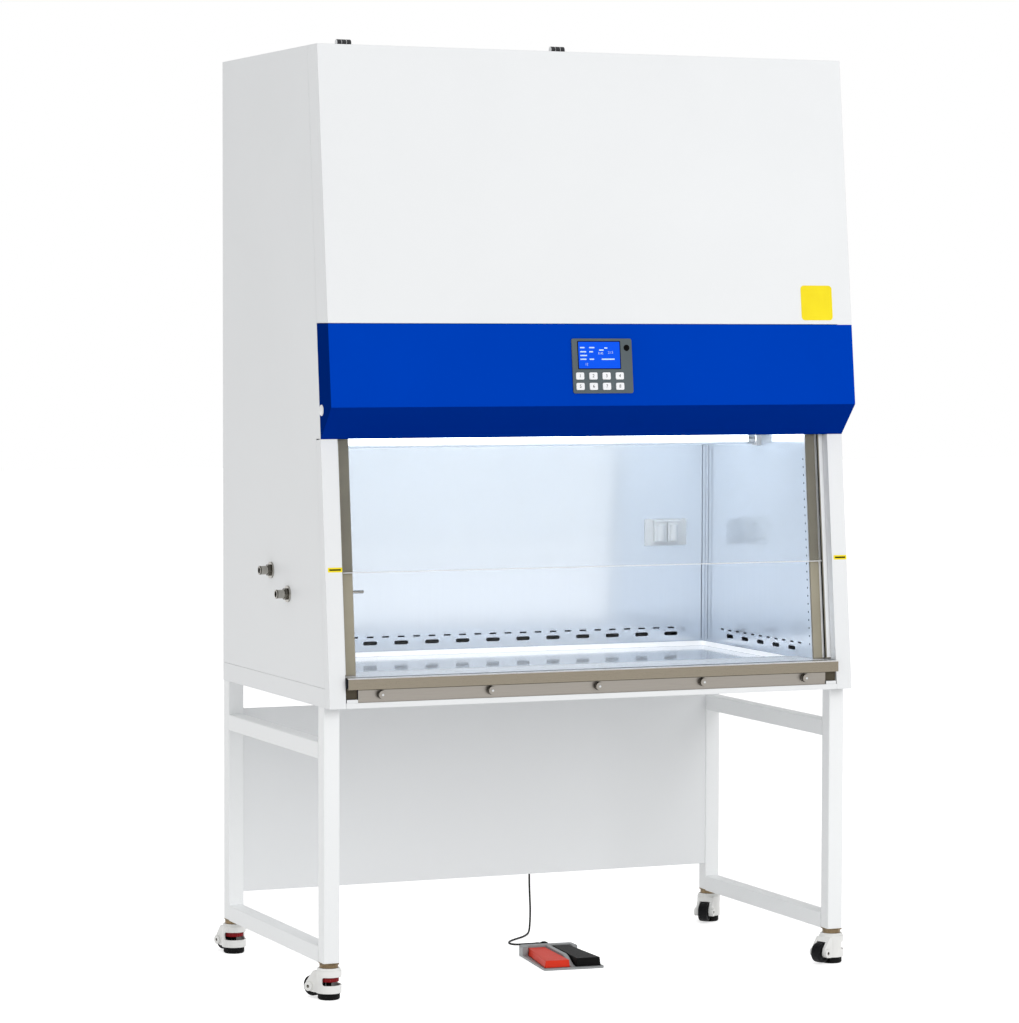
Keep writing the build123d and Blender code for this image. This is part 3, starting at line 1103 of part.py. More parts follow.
def pedal(side):
    """One moulded pedal with drafted walls, hollow below, hung on the pin at its back."""
    height = PEDAL_TOPS[side] - PEDAL_BOTTOM
    plan = fillet(pedal_outline().vertices(), PEDAL_WALL)
    shell = Pos(0, 0, PEDAL_BOTTOM) * extrude(plan, amount=height, taper=PEDAL_DRAFT)
    hollow = extrude(pedal_outline(-PEDAL_WALL - height * tan(radians(PEDAL_DRAFT))), amount=height - PEDAL_WALL)
    hollow -= box(-1, SWITCH_FRONT + 1, PEDAL_PIN_Y - 4 * PEDAL_PIN_RADIUS, SWITCH_DEPTH, -1, height)
    shell -= Pos(0, 0, PEDAL_BOTTOM) * hollow
    shell -= rod_x(PEDAL_PIN_RADIUS + RUNNING_GAP, -1, SWITCH_FRONT + 1, PEDAL_PIN_Y, PEDAL_PIN_Z)
    return SWITCH * (shell if side > 0 else other_side(shell))


def gland(radius, tip, length):
    """Rubber strain relief along +Z from its seat, tapered towards the cable."""
    return Pos(0, 0, length / 2) * Cone(radius, tip, length)


def cable_glands():
    """Strain reliefs at the foot switch and at the cabinet's underside."""
    at_switch = SWITCH * Pos(GLAND_X, SWITCH_DEPTH - GLAND_SEAT, GLAND_Z) * Rot(-90, 0, 0) * gland(
        GLAND_RADIUS, GLAND_TIP_RADIUS, GLAND_LENGTH)
    at_base = Pos(CABLE_TOP[0], CABLE_TOP[1], BASE_BOTTOM) * Rot(180, 0, 0) * gland(
        GLAND_RADIUS, GLAND_TIP_RADIUS, TOP_GLAND_LENGTH)
    return [at_switch - pedal_base(), at_base]


CABLE_POINTS = [(150.0, 379.0, 677.0), (150.0, 379.0, 150.0), (152.0, 379.0, 100.0), (154.0, 379.0, 58.0),
                (150.0, 372.0, 22.0), (138.0, 350.0, 5.0), (120.0, 322.0, 2.6), (94.0, 292.0, 2.6),
                (61.0, 266.0, 2.6), (36.0, 242.0, 2.6), (25.0, 219.0, 2.6), (24.5, 201.5, 2.6), (36.0, 190.0, 2.6),
                (52.0, 188.0, 3.0), (63.0, 176.0, 5.0), (66.0, 152.0, 9.0), (65.8, 128.0, 14.5)]


def cable_end():
    """Centre of the foot switch gland's tip, and of a point further out in line with it."""
    reach = SWITCH_DEPTH - GLAND_SEAT + GLAND_LENGTH
    return [(SWITCH * Pos(GLAND_X, reach + out, GLAND_Z)).position for out in (CABLE_LEAD, 0.0)]


def foot_switch_cable():
    """Cable from the cabinet's underside, down behind the stand's panel and along the floor."""
    points = [Vector(*point) for point in CABLE_POINTS] + cable_end()
    radii = []
    for before, here, after in zip(points, points[1:], points[2:]):
        run = min((here - before).length, (after - here).length)
        turn = radians((here - before).get_angle(after - here))
        radii.append(0.45 * run / tan(turn / 2))
    print("cable radii", [round(radius) for radius in radii], "smallest", round(min(radii), 1))
    path = FilletPolyline(*points, radius=radii)
    start = Plane(origin=points[0], z_dir=points[1] - points[0])
    tube = sweep(start * Circle(CABLE_RADIUS), path=path)
    print("cable length", round(path.length, 1), "volume ratio",
          round(tube.volume / (pi * CABLE_RADIUS ** 2 * path.length), 4))
    return tube


# ---------------------------------------------------------------- all nodes

def build_nodes():
    """Every node's solids by name, in the working frame."""
    nodes = {
        "outer_shell": outer_shell(), "top_panel": top_panel(), "front_cover": front_cover(),
        "control_panel": control_panel(), "display_plate": display_plate(), "display_screen": display_screen(),
        "base_tray": base_tray(), "inner_walls": inner_walls(), "work_tray": work_tray(),
        "front_grille": front_grille(), "sill_strip": sill_strip(), "sash_guides": sash_guides(),
        "sash_glass": sash_glass(), "sash_rail": sash_rail(), "drive_shaft": drive_shaft(),
        "idler_pulleys": idler_pulleys(), "drive_belts": drive_belts(), "sash_motor": sash_motor(),
        "chamber_lamps": chamber_lamps(), "socket_plate": socket_plate(), "socket_flap_left": socket_flap(-1),
        "socket_flap_right": socket_flap(1), "service_taps": service_taps(), "air_filters": air_filters(),
        "blower_housing": blower_housing(), "blower_wheel": blower_wheel(), "stand_frame": stand_frame(),
        "modesty_panel": modesty_panel(), "pedal_base": pedal_base(), "pedal_left": pedal(-1),
        "pedal_right": pedal(1), "cable_glands": cable_glands(), "foot_switch_cable": foot_switch_cable(),
    }
    for name, (y, z) in zip(("tap_knob_rear", "tap_knob_front"), TAPS):
        nodes[name] = tap_knob(y, z)
    for number, centre in enumerate(key_places(), start=1):
        nodes[f"key_{number}"] = key(centre)
    nodes["caster_plates"] = [placed_caster(caster_plate(), corner, turned=False) for corner in CASTER_ANGLES]
    makers = {"housing": caster_housing(), "wheel": caster_wheel(), "thumbwheel": caster_thumbwheel(),
              "foot": caster_foot()}
    for corner in CASTER_ANGLES:
        for part_name, shape in makers.items():
            nodes[f"{corner}_caster_{part_name}"] = placed_caster(shape, corner)
    return nodes


def solids_of(shapes):
    """Flat list of the solids in one shape or a list of shapes."""
    shapes = shapes if isinstance(shapes, list) else [shapes]
    return [solid for shape in shapes for solid in shape.solids()]


def origin_shift(nodes):
    """Moves the middle of the footprint, without the loose cable, to the origin."""
    rigid = [solid for name, shapes in nodes.items() if name != "foot_switch_cable" for solid in solids_of(shapes)]
    span = Compound(rigid).bounding_box()
    return Vector(-(span.min.X + span.max.X) / 2, -(span.min.Y + span.max.Y) / 2, 0)


def write(nodes):
    """Writes one STEP file per node."""
    os.makedirs("parts", exist_ok=True)
    shift = origin_shift(nodes)
    print("origin shift", round(shift.X, 4), round(shift.Y, 4))
    for name, shapes in nodes.items():
        solids = [Pos(shift.X, shift.Y, 0) * solid for solid in solids_of(shapes)]
        export_step(solids[0] if len(solids) == 1 else Compound(solids), f"parts/{name}.step")


if __name__ == "__main__":
    write(build_nodes())
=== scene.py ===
"""Looks of a biosafety cabinet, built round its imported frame. Metres in Blender; sizes here in millimetres.

Pieces are surfaces worked out on grids: a profile turned round an axis, a rounded outline carried over a height,
or a ring carried along a path. Each rides on the body that carries it.
"""
from math import atan2, cos, pi, radians, sin, tan

import bmesh
import bpy
import numpy as np
from mathutils import Matrix, Vector


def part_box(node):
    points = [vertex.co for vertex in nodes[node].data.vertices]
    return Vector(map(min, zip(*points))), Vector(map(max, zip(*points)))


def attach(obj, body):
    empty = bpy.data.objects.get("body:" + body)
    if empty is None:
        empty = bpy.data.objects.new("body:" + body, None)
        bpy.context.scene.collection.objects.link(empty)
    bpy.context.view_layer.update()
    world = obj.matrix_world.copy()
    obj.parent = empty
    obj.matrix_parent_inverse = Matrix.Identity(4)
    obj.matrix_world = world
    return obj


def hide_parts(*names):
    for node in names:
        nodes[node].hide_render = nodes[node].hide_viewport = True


MM = 0.001

# Sizes shared with the frame, in the cabinet's own axes: x from its middle, y from its centre plane, z from the floor
HALF_WIDTH = 690.0
HEIGHT = 2250.0
BACK_Y = 390.0
BASE_BOTTOM = 693.0
FRONT_FOOT_Y = -390.0
FRONT_TILT = radians(5.685)
FASCIA_TOP_Y = -302.0
CHIN_Y, CHIN_Z = -398.0, 1400.0
FASCIA_TILT = atan2(FASCIA_TOP_Y - CHIN_Y, HEIGHT - CHIN_Z)
CHAMBER_HALF = 610.0
WALL_BACK_Y = 270.0
WORK_Z, TRAY_RIM_Z, GRILLE_Z = 752.0, 764.0, 765.0
SASH_BOTTOM_Z = 1009.0
GLASS_EDGE_DEPTH, GLASS_EDGE_LIFT = 29.7, 2.2
SILL_END_X = 633.0
SEAM_Z = (768.0, 1390.0)
POSTS = {"front_left": (-670.0, -329.0, 122.0), "front_right": (670.0, -329.0, 204.0),
         "rear_left": (-670.0, 368.0, 103.0), "rear_right": (670.0, 368.0, 229.0)}
TRAIL, AXLE_Z, WHEEL_RADIUS, WHEEL_WIDTH = 43.0, 29.0, 25.0, 24.5
THUMBWHEEL_Z = (42.0, 54.0)
THUMBWHEEL_RADIUS = 24.0
PLATE_CENTRE = (7.0, 1495.0)
HINGE_X = (-600.0, -48.0)

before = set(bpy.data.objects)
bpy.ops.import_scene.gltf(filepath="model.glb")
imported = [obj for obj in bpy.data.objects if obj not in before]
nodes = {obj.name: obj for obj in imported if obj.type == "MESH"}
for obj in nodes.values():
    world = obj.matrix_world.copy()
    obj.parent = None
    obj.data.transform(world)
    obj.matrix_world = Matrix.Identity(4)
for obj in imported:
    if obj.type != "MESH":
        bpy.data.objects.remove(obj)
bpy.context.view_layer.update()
cover_low, cover_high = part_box("front_cover")
_, shell_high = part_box("outer_shell")
ORIGIN = np.array([(cover_low.x + cover_high.x) / 2, shell_high.y - BACK_Y * MM, 0.0])


def place(points):
    """Row-frame metres of points given in the cabinet's own axes in millimetres."""
    return ORIGIN + np.asarray(points, float) * MM


def front_y(z):
    """Y of the sloping front line at height z."""
    return FRONT_FOOT_Y + (z - BASE_BOTTOM) * tan(FRONT_TILT)


def fascia_y(z):
    """Y of the cover's and control panel's face at height z."""
    return FASCIA_TOP_Y - (HEIGHT - z) * tan(FASCIA_TILT)


# ---------------------------------------------------------------- camera

def make_camera():
    """Long lens a little above the work surface's height, left of the front."""
    data = bpy.data.cameras.new("camera")
    data.sensor_fit, data.sensor_width, data.lens = "AUTO", 36.0, 129.57
    data.clip_end = 100.0
    camera = bpy.data.objects.new("camera", data)
    bpy.context.scene.collection.objects.link(camera)
    yaw, pitch, roll = radians(-23.008), radians(-2.918), radians(0.149)
    turn = Matrix.Rotation(yaw, 4, "Z") @ Matrix.Rotation(pi / 2 + pitch, 4, "X") @ Matrix.Rotation(roll, 4, "Z")
    camera.matrix_world = Matrix.Translation(place((-3656.2, -8447.0, 1595.6))) @ turn
    bpy.context.scene.camera = camera


make_camera()


# ---------------------------------------------------------------- surfaces on grids

def basis(axis, across=None):
    """Two unit vectors that make a right-handed set with axis; across, where given, sets the first."""
    axis = np.asarray(axis, float) / np.linalg.norm(axis)
    if across is None:
        across = (0.0, 0.0, 1.0) if abs(axis[2]) < 0.9 else (1.0, 0.0, 0.0)
    first = np.asarray(across, float) - np.dot(across, axis) * axis
    first /= np.linalg.norm(first)
    return first, np.cross(axis, first), axis


def turned(profile, centre, axis, segments=48, ripple=None, across=None):
    """Grid of a surface of revolution: point (r, h) at angle a is centre + h*axis + r*(cos a, sin a) across it.
    ripple, a function of the angle and the radius, is added to r."""
    profile = np.asarray(profile, float)
    first, second, axis = basis(axis, across)
    angle = np.linspace(0, 2 * pi, segments, endpoint=False)
    radius = np.repeat(profile[:, :1], segments, axis=1)
    if ripple is not None:
        radius = radius + ripple(angle[None, :], radius)
    ring = np.cos(angle)[:, None] * first + np.sin(angle)[:, None] * second
    return np.asarray(centre, float) + radius[..., None] * ring + profile[:, 1, None, None] * axis


def rounded_outline(half_x, half_y, corner, steps=6):
    """Rounded rectangle as quarter circles: x = sign*(half_x - r) + r*cos a, and y likewise with sin a."""
    angle = np.concatenate([np.linspace(q * pi / 2, (q + 1) * pi / 2, steps) for q in range(4)])
    middle = np.repeat([pi / 4, 3 * pi / 4, 5 * pi / 4, 7 * pi / 4], steps)
    x = np.sign(np.cos(middle)) * (half_x - corner) + corner * np.cos(angle)
    y = np.sign(np.sin(middle)) * (half_y - corner) + corner * np.sin(angle)
    return np.stack([x, y], axis=1)


def raised_plate(size, thick, corner, edge, centre, normal, across, crown=0.0):
    """Grid of a plate: the rounded outline goes up the side, in over a quarter-round edge, and to its middle.
    crown lifts the middle as the outline shrinks, by 1 - scale squared."""
    arc = np.linspace(0, pi / 2, 5)
    inset = np.concatenate([[min(size) / 2, 0.0, 0.0], edge * (1 - np.cos(arc))])
    height = np.concatenate([[0.0, 0.0, thick - edge], thick - edge + edge * np.sin(arc)])
    rows = []
    for cut, lift in zip(inset, height):
        half_x, half_y = size[0] / 2 - cut, size[1] / 2 - cut
        outline = rounded_outline(max(half_x, 0.0), max(half_y, 0.0), max(corner - cut, 0.0))
        rows.append(np.column_stack([outline, np.full(len(outline), lift)]))
    top = rows[-1]
    for scale in (0.66, 0.33, 0.0):
        rows.append(np.column_stack([top[:, :2] * scale, top[:, 2] + crown * (1 - scale ** 2)]))
    rows[0][:, :2] = 0.0
    local = np.array(rows)
    first, second, up = basis(normal, across)
    return np.asarray(centre, float) + local[..., :1] * first + local[..., 1:2] * second + local[..., 2:] * up


def ring_plate(size, hole, thick, corner, centre, normal, across):
    """Grid of a flat frame: the outer outline, up, over to the inner outline, down and back, closed both ways."""
    outer = rounded_outline(size[0] / 2, size[1] / 2, corner)
    inner = rounded_outline(hole[0] / 2, hole[1] / 2, max(corner - 1.0, 0.3))
    chamfer = 0.3
    inset = rounded_outline(size[0] / 2 - chamfer, size[1] / 2 - chamfer, max(corner - chamfer, 0.2))
    rows = [(outer, 0.0), (outer, thick - chamfer), (inset, thick), (inner, thick), (inner, 0.0)]
    local = np.array([np.column_stack([flat, np.full(len(flat), lift)]) for flat, lift in rows])
    first, second, up = basis(normal, across)
    return np.asarray(centre, float) + local[..., :1] * first + local[..., 1:2] * second + local[..., 2:] * up


def add_piece(name, grids, finish, body, loops=False, smooth=30.0):
    """One mesh from grids of points closed round their columns, and round their rows too where loops is set."""
    points, quads, start = [], [], 0
    for grid in grids:
        rows, columns = grid.shape[:2]
        index = np.arange(rows * columns).reshape(rows, columns) + start
        index = np.hstack([index, index[:, :1]])
        if loops:
            index = np.vstack([index, index[:1]])
        corners = [index[:-1, :-1], index[:-1, 1:], index[1:, 1:], index[1:, :-1]]
        quads.append(np.stack(corners, axis=-1).reshape(-1, 4))
        points.append(grid.reshape(-1, 3))
        start += rows * columns
    mesh = bpy.data.meshes.new(name)
    mesh.from_pydata(place(np.concatenate(points)).tolist(), [], np.concatenate(quads).tolist())
    shape = bmesh.new()
    shape.from_mesh(mesh)
    bmesh.ops.remove_doubles(shape, verts=shape.verts, dist=1e-6)
    bmesh.ops.dissolve_degenerate(shape, edges=shape.edges, dist=1e-7)
    bmesh.ops.recalc_face_normals(shape, faces=shape.faces)
    shape.to_mesh(mesh)
    shape.free()
    mesh.set_sharp_from_angle(angle=radians(smooth))
    mesh.polygons.foreach_set("use_smooth", np.ones(len(mesh.polygons), bool))
    return finish_piece(bpy.data.objects.new(name, mesh), finish, body)


def finish_piece(piece, finish, body):
    """Links a piece, gives it its material and hangs it on its body."""
    if piece.name not in bpy.context.scene.collection.objects:
        bpy.context.scene.collection.objects.link(piece)
    piece.data.materials.clear()
    piece.data.materials.append(finish)
    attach(piece, body)
    return piece


# ---------------------------------------------------------------- shader groups

def new_group(name, inputs, outputs):
    """An empty shader group with named number inputs and typed outputs."""
    group = bpy.data.node_groups.new(name, "ShaderNodeTree")
    for label, value in inputs.items():
        kind = "NodeSocketFloat" if isinstance(value, float) else "NodeSocketVector"
        socket = group.interface.new_socket(label, in_out="INPUT", socket_type=kind)
        socket.default_value = value
    for label, kind in outputs.items():
        group.interface.new_socket(label, in_out="OUTPUT", socket_type=kind)
    return group, group.nodes.new("NodeGroupInput"), group.nodes.new("NodeGroupOutput")


def node(tree, kind, inputs=None, **settings):
    """A node of that kind, its settings made and its inputs linked or set."""
    made = tree.nodes.new(kind)
    for key, value in settings.items():
        setattr(made, key, value)
    for key, value in (inputs or {}).items():
        if isinstance(value, bpy.types.NodeSocket):
            tree.links.new(value, made.inputs[key])
        else:
            made.inputs[key].default_value = value
    return made


def maths(tree, operation, *values):
    """Output of a Math node whose values are sockets or numbers."""
    return node(tree, "ShaderNodeMath", dict(enumerate(values)), operation=operation).outputs[0]


def object_coordinates(tree):
    """The piece's own coordinates, in metres."""
    return node(tree, "ShaderNodeTexCoord").outputs["Object"]


def object_axes(tree):
    """X, Y and Z outputs of the object coordinates."""
    return node(tree, "ShaderNodeSeparateXYZ", {0: object_coordinates(tree)}).outputs


def make_grain_group():
    """Noise of a given size stretched along each axis, spread between two values: mask from 0 to 1, and height."""
    group, entry, leave = new_group("fine_grain", {"Stretch": (1.0, 1.0, 1.0), "Size": 500.0, "Detail": 4.0},
                                    {"Mask": "NodeSocketFloat"})
    mapping = node(group, "ShaderNodeMapping", {"Vector": object_coordinates(group), "Scale": entry.outputs["Stretch"]})
    noise = node(group, "ShaderNodeTexNoise", {"Vector": mapping.outputs[0], "Scale": entry.outputs["Size"],
                                               "Detail": entry.outputs["Detail"], "Roughness": 0.6})
    spread = node(group, "ShaderNodeMapRange", {"Value": noise.outputs[0], "From Min": 0.3, "From Max": 0.7})
    group.links.new(spread.outputs[0], leave.inputs["Mask"])
    return group


def make_soft_edge_group():
    """Normal rounded over sharp edges by a radius, then dented by a height."""
    group, entry, leave = new_group("soft_edges", {"Radius": 0.001, "Height": 0.0, "Depth": 0.0001},
                                    {"Normal": "NodeSocketVector"})
    bevel = node(group, "ShaderNodeBevel", {"Radius": entry.outputs["Radius"]}, samples=4)
    bump = node(group, "ShaderNodeBump", {"Strength": 1.0, "Distance": entry.outputs["Depth"],
                                          "Height": entry.outputs["Height"], "Normal": bevel.outputs[0]})
    group.links.new(bump.outputs[0], leave.inputs["Normal"])
    return group


def make_handling_group():
    """Broad cloudy patches that a wiped surface keeps, low and slow, as a mask from 0 to 1."""
    group, entry, leave = new_group("wiped_patches", {"Size": 2.5}, {"Mask": "NodeSocketFloat"})
    noise = node(group, "ShaderNodeTexNoise", {"Vector": object_coordinates(group), "Scale": entry.outputs["Size"],
                                               "Detail": 3.0, "Roughness": 0.5, "Distortion": 0.4})
    spread = node(group, "ShaderNodeMapRange", {"Value": noise.outputs[0], "From Min": 0.25, "From Max": 0.75})
    group.links.new(spread.outputs[0], leave.inputs["Mask"])
    return group


GRAIN = make_grain_group()
SOFT_EDGES = make_soft_edge_group()
WIPED = make_handling_group()


def use(tree, group, inputs):
    """A group placed in a material with its own values."""
    made = tree.nodes.new("ShaderNodeGroup")
    made.node_tree = group
    for key, value in inputs.items():
        if isinstance(value, bpy.types.NodeSocket):
            tree.links.new(value, made.inputs[key])
        else:
            made.inputs[key].default_value = value
    return made.outputs[0]


def blend_colours(tree, mask, low, high):
    """Colour between low and high by a mask."""
    mix = node(tree, "ShaderNodeMix", {"Factor": mask}, data_type="RGBA")
    for socket, value in ((mix.inputs[6], low), (mix.inputs[7], high)):
        if isinstance(value, bpy.types.NodeSocket):
            tree.links.new(value, socket)
        else:
            socket.default_value = (*value, 1.0)
    return mix.outputs[2]


def between(tree, mask, low, high):
    """Number between low and high by a mask."""
    return node(tree, "ShaderNodeMapRange", {"Value": mask, "To Min": low, "To Max": high}).outputs[0]


def start_material(name, **settings):
    """A material with a Principled shader, its plain sockets set."""
    material = bpy.data.materials.new(name)
    material.use_nodes = True
    shader = material.node_tree.nodes["Principled BSDF"]
    for key, value in settings.items():
        socket = shader.inputs[key.replace("_", " ")]
        socket.default_value = (*value, 1.0) if isinstance(value, tuple) else value
    return material, material.node_tree, shader


def shade(tree, shader, colour=None, roughness=None, normal=None):
    """Links what varies to the shader."""
    for key, value in (("Base Color", colour), ("Roughness", roughness), ("Normal", normal)):
        if value is not None:
            tree.links.new(value, shader.inputs[key])


def powder_coat(name, colour, darker, roughness=0.38, peel=0.00006, radius=0.0012, sheen=0.35):
    """Baked powder coat: orange-peel dents, a faint change of tone and softened sheet edges."""
    material, tree, shader = start_material(name, Specular_IOR_Level=sheen)
    peel_mask = use(tree, GRAIN, {"Size": 420.0, "Detail": 2.0})
    wiped = use(tree, WIPED, {"Size": 1.8})
    normal = use(tree, SOFT_EDGES, {"Radius": radius, "Height": peel_mask, "Depth": peel})
    shade(tree, shader, blend_colours(tree, wiped, darker, colour), between(tree, wiped, roughness, roughness + 0.08),
          normal)
    return material


def world_y(y):
    """Row-frame Y in metres of a plane at y in the cabinet's own axes."""
    return float(place((0.0, y, 0.0))[1])


def past(tree, value, limit, above=True):
    """Mask that is 1 where a coordinate is past a limit in metres."""
    operation = "GREATER_THAN" if above else "LESS_THAN"
    return maths(tree, operation, value, limit)


def blue_coat():
    """Blue powder coat of the control panel, with painted shade: a darker blue on its underside and on its left end."""
    material, tree, shader = start_material("blue_coat", Specular_IOR_Level=0.0)
    axes = object_axes(tree)
    # Painted shade: the panel's underside and its left end are coloured darker blues that stand in for shade.
    chin_shade = past(tree, axes[2], (CHIN_Z - 0.5) * MM, above=False)
    end = past(tree, axes[0], float(place((0.5 - HALF_WIDTH, 0.0, 0.0))[0]), above=False)
    wiped = use(tree, WIPED, {"Size": 1.8})
    face = blend_colours(tree, wiped, (0.0, 0.047, 0.46), (0.0, 0.052, 0.50))
    face = blend_colours(tree, chin_shade, face, (0.0, 0.024, 0.26))
    peel = use(tree, GRAIN, {"Size": 420.0, "Detail": 2.0})
    shade(tree, shader, blend_colours(tree, end, face, (0.0, 0.020, 0.19)), between(tree, wiped, 0.42, 0.5),
          use(tree, SOFT_EDGES, {"Radius": 0.0012, "Height": peel, "Depth": 0.00006}))
    return material


def brushed_metal(name, light, dark, stretch, roughness=(0.28, 0.42), radius=0.0008, depth=0.00003, size=90.0,
                  metallic=1.0):
    """Brushed sheet: long streaks along one axis in tone, roughness and height."""
    material, tree, shader = start_material(name, Metallic=metallic)
    streak = use(tree, GRAIN, {"Stretch": stretch, "Size": size, "Detail": 6.0})
    wiped = use(tree, WIPED, {"Size": 3.0})
    blotch = maths(tree, "MULTIPLY_ADD", streak, wiped, 0.25)
    normal = use(tree, SOFT_EDGES, {"Radius": radius, "Height": streak, "Depth": depth})
    shade(tree, shader, blend_colours(tree, blotch, dark, light),
          between(tree, streak, roughness[0], roughness[1]), normal)
    return material


def moulded(name, colour, roughness=0.5, grain_size=1400.0, depth=0.00004, radius=0.0006, coat=0.0, lighter=1.12,
            sheen=0.5):
    """Moulded plastic or rubber: spark-eroded grain and softened edges."""
    material, tree, shader = start_material(name, Coat_Weight=coat, Specular_IOR_Level=sheen)
    grain = use(tree, GRAIN, {"Size": grain_size, "Detail": 3.0})
    wiped = use(tree, WIPED, {"Size": 14.0})
    normal = use(tree, SOFT_EDGES, {"Radius": radius, "Height": grain, "Depth": depth})
    bright = tuple(min(c * lighter + 0.004, 1.0) for c in colour)
    shade(tree, shader, blend_colours(tree, wiped, colour, bright), between(tree, grain, roughness - 0.05,
                                                                           roughness + 0.06), normal)
    return material


def pane_glass():
    """Clear float glass with faint wipe marks in its roughness."""
    material, tree, shader = start_material("pane_glass", Base_Color=(0.985, 0.992, 0.992), Transmission_Weight=1.0,
                                            IOR=1.45)
    wiped = use(tree, WIPED, {"Size": 5.0})
    shade(tree, shader, roughness=between(tree, wiped, 0.0, 0.03))
    return material


def lamp_finish():
    """Frosted tubes and white holders; only the chamber lamp's tube glows, between its holders, and only faintly along
    its underside as a painted shade line.
    """
    material, tree, shader = start_material("lamp_finish", Emission_Strength=LAMP_STRENGTH)
    axes = object_axes(tree)
    centre = place((0.0, LAMP_SPLIT_Y, 0.0))
    offset = maths(tree, "SUBTRACT", axes[0], float(centre[0]))
    reach = maths(tree, "ABSOLUTE", offset)
    inside = maths(tree, "LESS_THAN", reach, LAMP_GLOW_HALF * MM)
    in_front = maths(tree, "LESS_THAN", axes[1], float(centre[1]))
    lit = maths(tree, "MULTIPLY", inside, in_front)
    under = past(tree, axes[2], (LAMP_Z - 6.5) * MM, above=False)
    grain = use(tree, GRAIN, {"Size": 900.0})
    shade(tree, shader, blend_colours(tree, grain, (0.84, 0.85, 0.86), (0.9, 0.91, 0.92)),
          between(tree, grain, 0.25, 0.35), use(tree, SOFT_EDGES, {"Radius": 0.0015, "Height": grain}))
    # Painted shade: the tube's lowest strip glows only faintly.
    glow = blend_colours(tree, under, (0.88, 0.94, 1.0), (0.035, 0.05, 0.07))
    tree.links.new(blend_colours(tree, lit, (0.0, 0.0, 0.0), glow),
                   shader.inputs["Emission Color"])
    return material


def pleated_media():
    """Folded filter paper: close pleats along X in height, and in tone as painted shade on the pleats, with a foil
    frame's sheen left out.
    """
    material, tree, shader = start_material("pleated_media", Sheen_Weight=0.2)
    wave = node(tree, "ShaderNodeTexWave", {"Vector": object_coordinates(tree), "Scale": 60.0, "Distortion": 0.2},
                wave_type="BANDS", bands_direction="X")
    fibre = use(tree, GRAIN, {"Size": 1200.0, "Detail": 5.0})
    normal = use(tree, SOFT_EDGES, {"Radius": 0.001, "Height": wave.outputs[1], "Depth": 0.003})
    # Painted shade: the pleat bands darken the paper's colour on one side of each pleat.
    shade(tree, shader, blend_colours(tree, wave.outputs[1], (0.45, 0.45, 0.43), (0.86, 0.86, 0.83)),
          between(tree, fibre, 0.8, 0.95), normal)
    return material


def screen_finish():
    """Lit blue screen with a fine pixel grid; the round sensor at its right stays black."""
    material, tree, shader = start_material("screen_finish", Emission_Strength=0.85, Roughness=0.12,
                                            Specular_IOR_Level=0.08)
    axes = object_axes(tree)
    edge = float(place((SENSOR_SPLIT_X, 0.0, 0.0))[0])
    is_screen = maths(tree, "LESS_THAN", axes[0], edge)
    pixels = node(tree, "ShaderNodeTexChecker", {"Vector": object_coordinates(tree), "Scale": 2500.0})
    smudge = use(tree, WIPED, {"Size": 20.0})
    glow = blend_colours(tree, pixels.outputs[1], (0.003, 0.08, 0.95), (0.004, 0.11, 1.0))
    tree.links.new(blend_colours(tree, is_screen, (0.0, 0.0, 0.0), glow), shader.inputs["Emission Color"])
    shade(tree, shader, blend_colours(tree, is_screen, (0.004, 0.004, 0.004), (0.0, 0.02, 0.10)),
          between(tree, smudge, 0.06, 0.18))
    return material


def within(tree, value, low, high):
    """Mask that is 1 where a coordinate lies between two limits in metres."""
    return maths(tree, "MULTIPLY", past(tree, value, low), past(tree, value, high, above=False))


def tray_steel():
    """Bright satin steel of the work tray; the low inner faces of its rims are painted light: white, not metal, and
    glowing faintly.
    """
    material, tree, shader = start_material("tray_steel")
    axes = object_axes(tree)
    # Painted light: the rims' inner faces get a white colour, no metal and a faint glow.
    rim = within(tree, axes[2], (WORK_Z + 0.4) * MM, (TRAY_RIM_Z - 0.2) * MM)
    streak = use(tree, GRAIN, {"Stretch": (0.3, 1.0, 1.0), "Size": 90.0, "Detail": 6.0})
    steel = blend_colours(tree, streak, (0.84, 0.88, 0.94), (0.88, 0.92, 0.97))
    shade(tree, shader, blend_colours(tree, rim, steel, (1.0, 1.0, 1.0)), between(tree, streak, 0.07, 0.12),
          use(tree, SOFT_EDGES, {"Radius": 0.0008, "Height": streak, "Depth": 0.000003}))
    tree.links.new(between(tree, rim, 0.5, 0.0), shader.inputs["Metallic"])
    tree.links.new(blend_colours(tree, rim, (0.0, 0.0, 0.0), (0.5, 0.5, 0.5)), shader.inputs["Emission Color"])
    shader.inputs["Emission Strength"].default_value = 0.6
    return material


